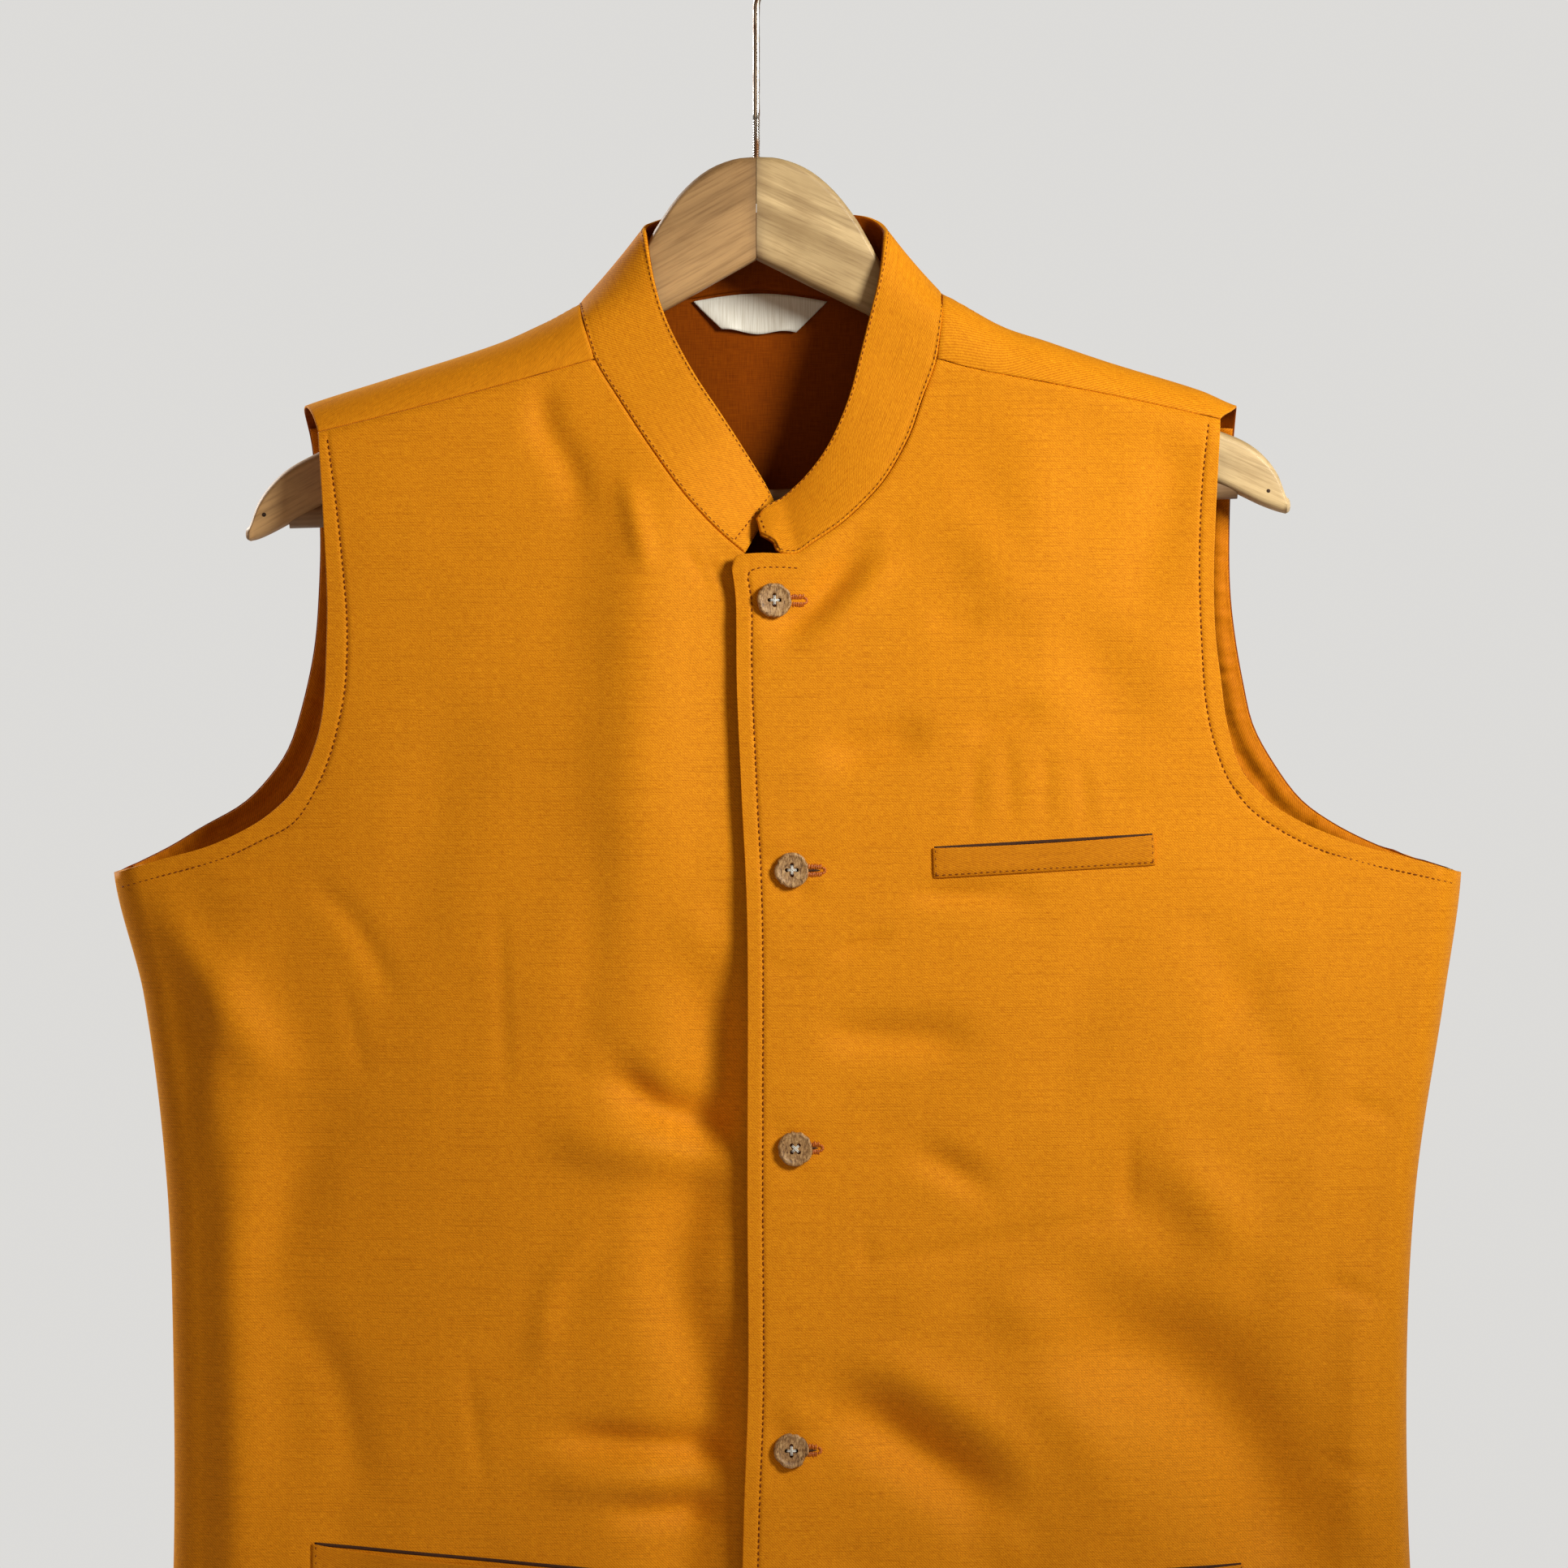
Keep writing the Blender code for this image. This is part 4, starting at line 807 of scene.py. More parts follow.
def twill_cloth(name, dark, light, twill_turn, sheen):
    """Fine twill of uneven orange yarns, with level slubs and a soft sheen."""
    made, tree, shader = new_material(name)
    weave = weave_place(tree)
    turned = mapped(tree, weave, (1.0, 1.0, 1.0), (0.0, 0.0, math.radians(twill_turn)))
    lines = tree.nodes.new("ShaderNodeTexWave")
    lines.bands_direction = "X"
    lines.inputs["Scale"].default_value = math.tau / 20 / (0.87 * MM)
    lines.inputs["Distortion"].default_value = 2.2
    lines.inputs["Detail"].default_value = 2.0
    lines.inputs["Detail Scale"].default_value = 2.0
    tree.links.new(turned, lines.inputs["Vector"])
    weft = yarn(tree, weave, 3.2, 0.3, 1.0)
    warp = yarn(tree, weave, 0.3, 3.2, 2.0)
    slub = yarn(tree, weave, 34.0, 0.5, 3.0)
    stripe = yarn(tree, weave, 2.2, 60.0, 4.0)
    cloud = noise_node(tree, weave, 16.0, 3.0, 0.55)
    yarns = math_node(tree, "MULTIPLY", weighted(tree, weft, 0.6, warp, 0.4), 0.9)
    woven = math_node(tree, "MULTIPLY_ADD", lines.outputs["Fac"], 0.22, yarns)
    base = ramp(tree, woven, ((0.32, dark), (0.76, light)))
    slubbed = tinted(tree, base, 0.6, slub, ((0.36, (0.82, 0.76, 0.68)), (0.45, (1, 1, 1)), (0.59, (1, 1, 1)),
                                             (0.68, (1.08, 1.14, 1.5))))
    striped = tinted(tree, slubbed, 0.25, stripe, ((0.3, (0.9, 0.87, 0.84)), (0.7, (1.06,) * 3)))
    clouded = tinted(tree, striped, 0.3, cloud, ((0.3, (0.9, 0.86, 0.8)), (0.7, (1.05,) * 3)))
    fine = bump_node(tree, woven, 0.5, 0.0002)
    set_inputs(tree, shader, {
        "Base Color": clouded,
        "Roughness": 0.68,
        "Specular IOR Level": 0.1,
        "Sheen Weight": sheen,
        "Sheen Roughness": 0.42,
        "Sheen Tint": (1.0, 0.7, 0.2, 1.0),
        "Normal": bump_node(tree, slub, 0.12, 0.0003, fine),
    })
    return made


def plain_lining(name, dark, light):
    """A smooth plain-woven lining."""
    made, tree, shader = new_material(name)
    weave = weave_place(tree)
    weft = yarn(tree, weave, 7.0, 0.35, 1.0)
    warp = yarn(tree, weave, 0.35, 7.0, 2.0)
    woven = weighted(tree, weft, 0.5, warp, 0.5)
    set_inputs(tree, shader, {
        "Base Color": ramp(tree, woven, ((0.35, dark), (0.65, light))),
        "Roughness": 0.55,
        "Specular IOR Level": 0.05,
        "Normal": bump_node(tree, woven, 0.3, 0.0002),
    })
    return made


def steps_between(*stops):
    """Shares from 0, as rows of a share and the steps up to it."""
    found = [0.0]
    for stop, steps in stops:
        start = found[-1]
        found += [start + (stop - start) * (i + 1) / steps for i in range(steps)]
    return found


def back_neck():
    """The back's neck edge, from the right front seam round to the left one."""
    right, left = RIGHT_SHOULDER_SEAM[0], LEFT_SHOULDER_SEAM[0]
    start = [on_front(right[0], right[1] + SHOULDER_HALF_GAP), on_front(*NECK_TURN_RIGHT)]
    end = [on_front(*NECK_TURN_LEFT), on_front(left[0], left[1] + SHOULDER_HALF_GAP)]
    return [tuple(p) for p in start + [on_back(x, z) for x, z in BACK_NECK] + end]


def back_side(column, armhole, seam):
    """One side of the back: its side seam, then its armhole up to the front."""
    side = side_reader(column)
    edge = [tuple(on_back(x, z)) for x, z in armhole] + [tuple(seam[-1])]
    return chain_reader(((0.68, lambda fraction: on_back(*side(fraction))), (1.0, even_reader(edge))))


def neck_fan(s, t):
    """Moves the grid outward below the sides of the neck, whose edge turns back."""
    right = np.exp(-2 * ((s - 0.31) / 0.2) ** 2) + np.interp(s, (0.15, 0.29, 0.34), (0.0, 0.5, 0.0))
    left = np.exp(-2 * ((s - 0.69) / 0.2) ** 2) + np.interp(s, (0.66, 0.71, 0.85), (0.0, 0.5, 0.0))
    return 20.0 * (left - right) * t * (1.0 - np.exp(-(1.0 - t) / 0.04))


twill = twill_cloth("orange_twill", (0.54, 0.148, 0.001), (0.93, 0.365, 0.009), -45.0, 0.18)
# The lining is a plain weave, and its colours, about a third of the twill's, are painted shade for the inside
# of the garment.
lining = plain_lining("orange_lining_painted_shade", (0.19, 0.034, 0.0004), (0.3, 0.062, 0.001))
right_top = [tuple(on_front(x, z)) for x, z in seam_line(RIGHT_SHOULDER_SEAM, -SHOULDER_HALF_GAP)]
left_top = [tuple(on_front(x, z)) for x, z in seam_line(LEFT_SHOULDER_SEAM, -SHOULDER_HALF_GAP)]
back_hem = [tuple(on_back(float(read_table(BODY_SECTIONS, HEM_Z, column)), HEM_Z)) for column in (1, 2)]
back_edges = (
    even_reader(back_hem),
    chain_reader(((0.29, even_reader(right_top[::-1])), (0.71, point_reader(back_neck())),
                  (1.0, even_reader(left_top)))),
    back_side(1, BACK_RIGHT_ARMHOLE, right_top),
    back_side(2, BACK_LEFT_ARMHOLE, left_top),
)
half_columns = [0.0, 0.0006, 0.002, 0.0045, 0.008, 0.0125, 0.018, 0.025]
middle_columns = steps_between((0.29, 44), (0.71, 70), (1.0, 44))
between = [s for s in middle_columns if 0.03 < s < 0.97]
back_columns = half_columns + between + [1 - s for s in half_columns[::-1]]
back_rows = [0.0, 0.0005] + steps_between((0.68, 120), (0.9, 40), (0.9995, 44))[1:] + [1.0]
places = patch_grid(back_edges, back_columns, back_rows)
fanned = places[..., 0] + neck_fan(np.array(back_columns)[None], np.array(back_rows)[:, None])
running = places[..., 1]
back_points = back_place(fanned, running)
back_normals = grid_normals(back_points, 1)
inner = [i for i, s in enumerate(back_columns) if 0.15 < s < 0.85]
x, high = fanned[:, inner], running[:, inner]
reach = back_place(x + PROBE, high) - back_place(x - PROBE, high)
rise = back_place(x, high + PROBE) - back_place(x, high - PROBE)
turned = np.cross(rise, reach)
back_normals[:, inner] = turned / np.linalg.norm(turned, axis=-1, keepdims=True)
back = cloth_object("back_cloth", back_points, cloth_place(fanned, running), CLOTH, 1, (twill, lining),
                    normals=back_normals)
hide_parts("back")

# The wearer's right front is cut to go on under the other one. It hangs from
# the neck and shoulder, bright where it turns to the light beside the placket
# and creased across the waist.
UNDER_RECESS = 2.6
UNDER_RECESS_START = -38.0
UNDER_RECESS_END = -6.0
RIGHT_NECK = (
    (-4.9, -278.4), (-17, -268), (-30.5, -253.4), (-43.4, -235.7), (-57, -215), (-69.1, -195.1),
)
RIGHT_ARMHOLE = (
    (-274.5, ARMPIT_Z), (-253, -408.2), (-232.8, -402.6), (-215.5, -394.6), (-204, -386.6),
    (-195.4, -377.3), (-188.4, -363), (-183.9, -344.3), (-182.5, -315), (-182.5, -294), (-184.3, -262),
    (-186.7, -226.2),
)
UNDER_TOP = ((33.0, -285.0), (14.0, -283.5), (0.0, -282.5), (-4.9, -278.4))
UNDER_EDGE = ((33.0, HEM_Z), (33.0, -285.0))
FRONT_RIGHT_FOLDS = (
    (-46, -531, -9, 36, 11, 5.2),
    (-48, -655, -4, 34, 7, -6.2),
    (-52, -671, 2, 34, 7, 4.2),
    (-39, -684, 3, 20, 6, -4.2),
    (-231, -464, -52, 48, 12, 4.9),
    (-50, -336, 88, 95, 20, 6),
    (-130, -790, 82, 80, 20, -7),
    (-190, -760, 96, 90, 16, 4.5),
    (-50.5, -266, -77, 18, 5, 2.2),
    (-25, -285, -58, 10, 2.6, -1),
    (-16, -288, -48, 8, 2.4, -1),
    (-170.5, -482, -76, 20, 3, -0.8),
    (-107.5, -465, -88, 36, 3.2, -0.8),
    (-119, -648, -82, 24, 3.2, -1),
    (-222, -655, 90, 200, 17, 8),
    (-236, -520, 82, 60, 9, 2.5),
    (-140, -400, 80, 60, 16, -1.6),
    (-96, -610, 40, 40, 12, -1.6),
    (-70, -455, 86, 60, 9, -1.1),
    (-200, -560, 66, 50, 12, -2.1),
)
# Creases that bend: half width, depth out, then the places along them
RIGHT_CREASES = (
    (8.5, -8.6, ((-72, -490), (-60, -499), (-41, -513), (-20, -519), (-3, -522))),
    (7, -3.2, ((-87, -186), (-91.5, -206), (-89, -225), (-79, -243), (-71, -272))),
    (15, -9, ((-25, -436), (-19, -500), (-33, -580), (-22, -640), (-32, -720), (-24, -800))),
    (5, -1.8, ((-196, -412), (-170, -436), (-150, -474))),
    (9, -2.4, ((-206, -590), (-178, -630), (-166, -690))),
    (6, 1.8, ((-62, -560), (-86, -590), (-92, -634))),
)
LEFT_CREASES = (
    (8, -6.2, ((2, -322), (13, -310), (25, -301), (40, -284), (54, -268))),
    (6.5, -4.8, ((56, -530), (72, -534), (88, -542), (109, -554))),
    (2.8, -1.3, ((46.8, -558), (46.8, -574), (51, -578.4), (97.9, -570.2), (140.5, -561.5), (161, -560.5))),
    (13, -11, ((16, -642), (45, -645), (70, -660), (94, -679), (108, -700))),
    (9, 3, ((30, -622), (56, -623), (84, -637), (108, -656), (124, -680))),
    (24, -14, ((112, -598), (150, -611), (184, -629), (208, -660), (222, -700), (226, -744))),
    (15, 3.6, ((104, -612), (130, -640), (148, -668), (156, -708))),
    (7, -2.2, ((58, -696), (40, -704), (16, -706))),
    (13, 4.2, ((158, -520), (190, -552), (214, -592))),
    (18, -4, ((128, -528), (168, -560), (196, -596))),
    (15, -3, ((112, -300), (146, -330), (166, -372))),
    (12, 2.2, ((66, -252), (96, -276), (112, -320))),
    (7, -2, ((236, -440), (206, -470), (190, -512))),
)
CREASE_FADE = 12.0
# These stand with the right front because they press on the part that is covered
FRONT_LEFT_FOLDS = (
    (51, -360, 15, 20, 8, -3.5),
    (92, -423, 0, 24, 5, -2.8),
    (60, -483, -2, 28, 8, -4.2),
    (258, -650, 88, 60, 10, 3.9),
    (120, -790, 98, 75, 18, -6.2),
    (205, -800, 84, 70, 16, 4.9),
    (40, -297, 42, 24, 7, 2.2),
    (84.7, -307.5, 4, 10, 4, -1.1),
    (106, -350, 22, 15, 5, -1.8),
    (45, -444, 24, 11, 3, -1.6),
    (13.5, -455, 0, 9, 3, -0.8),
    (92, -380, 86, 15, 3.4, -0.8),
    (107, -376, 92, 17, 3.2, -0.7),
    (123, -378, 89, 14, 3.4, -0.8),
    (139, -382, 94, 13, 3, -0.7),
    (158, -544, 90, 16, 4, -1.6),
    (257, -593, -22, 14, 3.4, -2.2),
    (256, -669, -18, 14, 3, -2.1),
    (262, -515, -24, 12, 3, -1.8),
    (255, -704, -78, 10, 2.2, -1.1),
    (172, -262, 76, 40, 13, -2.6),
    (118, -262, 95, 45, 17, 2.2),
    (140, -470, 70, 50, 14, -1.6),
    (215, -480, -60, 50, 12, -2.1),
    (235, -560, 78, 60, 14, 2.8),
)
STITCH_GROOVE = 0.45
STITCH_GROOVE_WIDTH = 0.9


def front_base(x, z):
    drop = read_table(SHOULDER_RIDGE, x, 1) - z
    return -shell_depth(x, z, 3) * shoulder_share(drop)


def line_distance(x, z, line):
    """The distance from places to a line of points."""
    samples = curve_samples(line, 8)[0]
    best = np.full(np.broadcast(x, z).shape, 1e9)
    for (ax, az), (bx, bz) in zip(samples, samples[1:]):
        run_x, run_z = bx - ax, bz - az
        share = np.clip(((x - ax) * run_x + (z - az) * run_z) / (run_x ** 2 + run_z ** 2 + 1e-9), 0.0, 1.0)
        best = np.minimum(best, np.hypot(x - ax - run_x * share, z - az - run_z * share))
    return best


def crease_depth(creases, x, z):
    """How far bending creases push the cloth out, fading at both ends."""
    depth = np.zeros(np.broadcast(x, z).shape)
    for half_width, push, line in creases:
        share = np.exp(-(line_distance(x, z, line) / half_width) ** 2)
        for end_x, end_z in (line[0], line[-1]):
            away = (x - end_x) ** 2 + (z - end_z) ** 2
            share = share * (1.0 - np.exp(-away / (CREASE_FADE + half_width) ** 2))
        depth = depth + push * share
    return depth


def groove(x, z, lines):
    """A shallow groove along each sewn line."""
    depth = np.zeros(np.broadcast(x, z).shape)
    for line in lines:
        depth = depth - STITCH_GROOVE * np.exp(-(line_distance(x, z, line) / STITCH_GROOVE_WIDTH) ** 2)
    return depth


RIGHT_ARMHOLE_STITCH = (
    (-182.5, -229.1), (-178.4, -257.9), (-175.2, -286.7), (-173.5, -308.2), (-173.8, -329.7),
    (-175.9, -345.7), (-181.1, -365.8), (-188.4, -381.8), (-196.7, -393.2), (-209.9, -400.2),
    (-227.3, -408.2), (-253, -415.4), (-271, -420.3),
)


def right_front_place(x, z):
    """Points of the wearer's right front."""
    recess = UNDER_RECESS * ease((x - UNDER_RECESS_START) / (UNDER_RECESS_END - UNDER_RECESS_START))
    covered = ease((x + 14.0) / 22.0)
    own = fold_depth(FRONT_RIGHT_FOLDS, x, z) + crease_depth(RIGHT_CREASES, x, z) + ripple(x, z, 1.7)
    pressed = fold_depth(FRONT_LEFT_FOLDS, x, z) + crease_depth(LEFT_CREASES, x, z)
    push = (own * (1.0 - covered) + pressed * covered) * calm(x, z)
    push = push + groove(x, z, (RIGHT_ARMHOLE_STITCH,))
    return np.stack([x + 0 * z, front_base(x, z) + recess - push, z + 0 * x], axis=-1)


def edge_columns(count, near, middle, far):
    """Shares across a front: fine at both edges and even between."""
    start = list(np.linspace(0.0, near, middle[0]))
    end = list(np.linspace(1.0 - far, 1.0, middle[1]))
    between = list(np.linspace(near, 1.0 - far, count + 2)[1:-1])
    return [0.0, 0.001] + start[1:] + between + end[:-1] + [0.999, 1.0]


def front_edges(column, inner, top, top_share, neck, seam, armhole):
    """A front's hem, its top with the neck and shoulder, its inner edge and its side."""
    hem_corner = (float(read_table(BODY_SECTIONS, HEM_Z, column)), HEM_Z)
    return (
        even_reader((inner[0], hem_corner)),
        chain_reader(((top_share, even_reader(top)), (0.5, point_reader(neck[:-1] + seam[:1])),
                      (1.0, even_reader(seam)))),
        even_reader(inner),
        chain_reader(((0.72, side_reader(column)), (1.0, even_reader(armhole[:-1] + seam[-1:])))),
    )


front_rows = [0.0, 0.0006] + steps_between((0.72, 128), (0.9994, 70))[1:] + [1.0]
right_seam = seam_line(RIGHT_SHOULDER_SEAM, SHOULDER_HALF_GAP)
right_edges = front_edges(1, UNDER_EDGE, UNDER_TOP, 0.14, RIGHT_NECK, right_seam, RIGHT_ARMHOLE)
places = patch_grid(right_edges, edge_columns(92, 0.02, (4, 28), 0.055), front_rows)
front_right = cloth_object("front_right_cloth", right_front_place(places[..., 0], places[..., 1]),
                           cloth_place(places[..., 0], places[..., 1]), CLOTH, -1, (twill, lining))
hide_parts("front_right")

# The wearer's left front laps over. Its edge is turned to a stitched placket
# that stands a little off the front below, and five buttonholes are worked
# along it. The cloth is drawn in around each button.
PLACKET_LIFT = 3.1
PLACKET_LIFT_FADE = 70.0
PLACKET_STITCH = 6.7
LEFT_NECK = (
    (17.3, -278.6), (24, -274), (36.4, -265.5), (47.5, -255.1), (55.9, -245.1), (65.2, -228.4),
    (70.8, -212.4), (77, -195.1),
)
LEFT_ARMHOLE = (
    (301.2, ARMPIT_Z), (280.4, -408.2), (260.2, -403.3), (241.5, -396.7), (228.7, -390.8),
    (217.2, -383.2), (205.8, -370), (199.9, -351.2), (197.1, -331.1), (194.7, -308.2), (194.7, -276.6),
    (197.8, -220.8),
)
PLACKET_TOP = ((-10.4, -284.5), (-9.2, -280.6), (-6.9, -279.0), (1.7, -278.2), (9.7, -278.4), (17.3, -278.6))
PLACKET_EDGE = (
    (-7.5, HEM_Z), (-5.9, -711), (-3.5, -630), (-3.8, -551), (-3.8, -440), (-6.2, -381), (-8.2, -335),
    (-8.6, -300), (-10.4, -284.5),
)
# The dip under a button and the puckers round it: depth, half width, and where they are deepest
BUTTON_DIP, BUTTON_DIP_WIDTH = 0.9, 9.0
BUTTON_PUCKER, BUTTON_PUCKER_WIDTH, BUTTON_PUCKER_AWAY = 0.28, 7.0, 12.0
BUTTON_PLACES = ((7.3, -298.5), (14.9, -412.7), (16.3, -530.0), (14.6, -658.0), (13.9, -786.0))
PLACKET_LINE = tuple((x + PLACKET_STITCH, z) for x, z in PLACKET_EDGE[:-1]) + ((-3.4, -288.0), (0.0, -285.0),
                                                                               (9.0, -284.4), (18.0, -284.8))
LEFT_ARMHOLE_STITCH = (
    (192.6, -222.4), (189.8, -250.6), (188.4, -282.2), (189.1, -315.5), (191.2, -344.3),
    (197.1, -367.2), (205.8, -382.5), (217.2, -392.5), (237.3, -403.3), (260.3, -410.2),
    (280.4, -414.7), (297, -418.6),
)


def button_pull(x, z):
    """The cloth dips under each button and puckers a little around it."""
    depth = np.zeros(np.broadcast(x, z).shape)
    for number, (button_x, button_z) in enumerate(BUTTON_PLACES):
        away = np.hypot(x - button_x, z - button_z)
        angle = np.arctan2(z - button_z, x - button_x)
        depth = depth - BUTTON_DIP * np.exp(-(away / BUTTON_DIP_WIDTH) ** 2)
        rays = np.cos(3 * angle + number) + 0.6 * np.cos(5 * angle + 2 * number)
        near = np.exp(-((away - BUTTON_PUCKER_AWAY) / BUTTON_PUCKER_WIDTH) ** 2)
        depth = depth + BUTTON_PUCKER * rays * near
    return depth


def left_front_place(x, z):
    """Points of the wearer's left front."""
    lift = PLACKET_LIFT * (1.0 - ease((x + 10.0) / PLACKET_LIFT_FADE))
    push = fold_depth(FRONT_LEFT_FOLDS, x, z) + crease_depth(LEFT_CREASES, x, z)
    push = (push + ripple(x, z, 4.1) * ease((x + 4.0) / 14.0)) * calm(x, z)
    push = push + groove(x, z, (LEFT_ARMHOLE_STITCH, PLACKET_LINE)) + button_pull(x, z)
    return np.stack([x + 0 * z, front_base(x, z) - lift - push, z + 0 * x], axis=-1)


left_seam = seam_line(LEFT_SHOULDER_SEAM, SHOULDER_HALF_GAP)
left_edges = front_edges(2, PLACKET_EDGE, PLACKET_TOP, 0.12, LEFT_NECK, left_seam, LEFT_ARMHOLE)
places = patch_grid(left_edges, edge_columns(86, 0.045, (30, 28), 0.055), front_rows)
front_left = cloth_object("front_left_cloth", left_front_place(places[..., 0], places[..., 1]),
                          cloth_place(places[..., 0], places[..., 1]), CLOTH, -1, (twill, lining))
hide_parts("front_left")

# The stand collar is one stiffened band, sewn round the neck and topstitched
# along both edges. Its right end is square and its left end is rounded.
COLLAR_CLOTH = 2.2
COLLAR_HEIGHT = 33.0
# How far the band starts from the seam: a dark line shows in front, none behind
COLLAR_FRONT_GAP = 0.35
COLLAR_BACK_GAP = -0.2
COLLAR_TOP = (
    (7.6, -8, -255.8), (3, -12, -247), (-5, -15, -234), (-14, -17.5, -220),
    (-27.5, -18.5, -199.5), (-38, -17.5, -179), (-43.5, -15.5, -162), (-47, -9, -143),
    (-47.4, 0.5, -138), (-43.5, 7.5, -135), (-36, 9.8, -132.8), (-20, 9, -131.5), (0, 8.5, -131),
    (22, 9, -131), (38.5, 9.8, -131.6), (48.5, 7, -133.4), (54.2, -0.5, -138), (54.6, -9, -143.5),
    (52.4, -15.5, -160), (48.5, -17, -176), (44.5, -18, -192), (40, -19, -209.5),
    (34, -19.5, -225), (28, -19.5, -236), (21, -19, -245), (15, -18, -251),
    (11, -18, -254.3), (7.5, -18.8, -256.2), (3, -20, -259), (0.2, -22.5, -263.9),
)
COLLAR_TAB = ((10.3, -33.2, -278.0), (7.6, -31.2, -273.6), (1.7, -28.4, -270.0))


def scalar_place(place, x, z):
    """One point of a panel."""
    return np.asarray(place(np.array([x]), np.array([z])))[0]


def neck_seam():
    """The points where the collar is sewn on, then its free left end."""
    points = [scalar_place(right_front_place, x, z) for x, z in RIGHT_NECK]
    points += [scalar_place(back_place, x, running) for x, running in back_neck()[1:-1]]
    points += [scalar_place(left_front_place, x, z) for x, z in reversed(LEFT_NECK)]
    return [tuple(point) for point in points] + list(COLLAR_TAB)


seam_points = neck_seam()
collar_rows = [0.0, 0.008] + list(np.linspace(0.03, 0.97, 22)) + [0.992, 1.0]
collar_count = (len(seam_points) - 1) * 9
collar_points = np.zeros((len(collar_rows), collar_count + 1, 3))
back_end = len(seam_points) - len(COLLAR_TAB) - len(LEFT_NECK)
for i in range(collar_count + 1):
    seam = np.array(spline_point(seam_points, i / 9))
    top = np.array(spline_point(COLLAR_TOP, i / 9))
    behind = float(ease(i / 9 - len(RIGHT_NECK)) * ease(back_end - i / 9))
    gap = COLLAR_FRONT_GAP + (COLLAR_BACK_GAP - COLLAR_FRONT_GAP) * behind
    start = gap / np.linalg.norm(top - seam)
    for k, share in enumerate(collar_rows):
        collar_points[k, i] = seam + (top - seam) * (start + (1 - start) * share)
steps = np.linalg.norm(np.diff(collar_points.mean(axis=0), axis=0), axis=1)
lengths = np.concatenate(([0.0], np.cumsum(steps)))
collar_weave = np.stack(np.meshgrid(lengths, np.array(collar_rows) * COLLAR_HEIGHT), axis=-1) * MM
collar_normals = grid_normals(collar_points, 1)
collar_drop = np.array([(1 - share) * COLLAR_HEIGHT for share in collar_rows])
for stitched in (1.4, 31.6):
    dip = STITCH_GROOVE * np.exp(-((collar_drop - stitched) / 0.7) ** 2)
    collar_points = collar_points - collar_normals * dip[:, None, None]
collar = cloth_object("collar_cloth", collar_points, collar_weave, COLLAR_CLOTH, 1, (twill, lining))
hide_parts("collar")

# A facing strip of the jacket's cloth is sewn inside each armhole of the back
# and puckers along its seam. It shows through the open armhole.
FACING_CLOTH = 0.9
FACING_GAP = 0.25
FACING_WIDTH = 15.0
FACING_LENGTH = 260.0
FACING_COLUMNS = 190
FACING_START, FACING_END = 0.03, 0.965
FACING_PUCKERS = ((1.0, 4.2), (0.5, 1.9))


def back_at(x, z):
    """Points of the back side at places."""
    ridge = read_table(SHOULDER_RIDGE, x, 1)
    return back_place(x, ridge - run_of_drop(ridge - z))


def strip_along(edge, toward, start, end, offsets, count):
    """Places beside an edge: rows at offsets to one side of it."""
    read = even_reader(edge)
    rows = np.zeros((len(offsets), count, 2))
    for j, share in enumerate(np.linspace(start, end, count)):
        here = read(share)
        run = read(min(share + 0.01, 1.0)) - read(max(share - 0.01, 0.0))
        inward = np.array((run[1], -run[0])) / np.linalg.norm(run) * toward
        for i, offset in enumerate(offsets):
            rows[i, j] = here + inward * offset
    return rows


facing_cloth = twill_cloth("facing_cloth", (0.5, 0.13, 0.001), (0.86, 0.27, 0.004), -45.0, 0.14)
for side, armhole, toward in (("right", BACK_RIGHT_ARMHOLE, 1), ("left", BACK_LEFT_ARMHOLE, -1)):
    offsets = [0.5, 0.7, 1.4] + list(np.linspace(2.5, FACING_WIDTH - 1.0, 12)) + [FACING_WIDTH]
    spots = strip_along(armhole, toward, FACING_START, FACING_END, offsets, FACING_COLUMNS)
    points = back_at(spots[..., 0], spots[..., 1])
    across = np.array(offsets)[:, None] / FACING_WIDTH
    along = np.linspace(0.0, FACING_LENGTH, FACING_COLUMNS)[None]
    puckers = sum(height * np.array([[noise.noise((a / span, b * 1.4, 3.0 * toward)) for a in along[0]]
                                     for b in across[:, 0]]) for height, span in FACING_PUCKERS)
    puckers = puckers + 0.8 * np.sin(across * 8.5 + 0.8 * np.sin(along / 31.0) + toward)
    calm_edge = np.sin(np.clip(across, 0.0, 1.0) * math.pi * 0.9) ** 0.6
    points[..., 1] -= CLOTH / 2 + FACING_GAP + FACING_CLOTH / 2 + 0.35 + (puckers + 0.35) * calm_edge
    weave = np.stack([along + 0 * across, across * FACING_WIDTH + 0 * along], axis=-1) * MM
    facing = cloth_object(f"facing_{side}_cloth", points, weave, FACING_CLOTH, -1, (facing_cloth,))
    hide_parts(f"facing_{side}")

# Each pocket opening is closed by a narrow welt of doubled cloth. It is
# stitched along its lower edge and tacked at both ends, and its folded upper
# edge stands open by a little. Behind it a thin near-black sheet is painted
# shade in the opening.
WELT_CLOTH = 1.1
WELT_HEIGHT = 13.0
WELT_OUT = 1.35
# Side, then corners: lower left, lower right, upper left, upper right, and
# the sag of the upper edge
WELTS = {
    "welt_chest": ("left", ((75.0, -416.1), (169.0, -410.6), (74.6, -403.3), (168.6, -397.7)), 0.8),
    "welt_lower_right": ("right", ((-188.4, -712.0), (-64.5, -722.5), (-188.4, -698.6), (-64.5, -709.0)), 3.0),
    "welt_lower_left": ("left", ((83.0, -726.0), (207.2, -721.5), (83.0, -712.4), (207.2, -708.0)), 1.2),
}
FRONT_PLACES = {"left": left_front_place, "right": right_front_place}


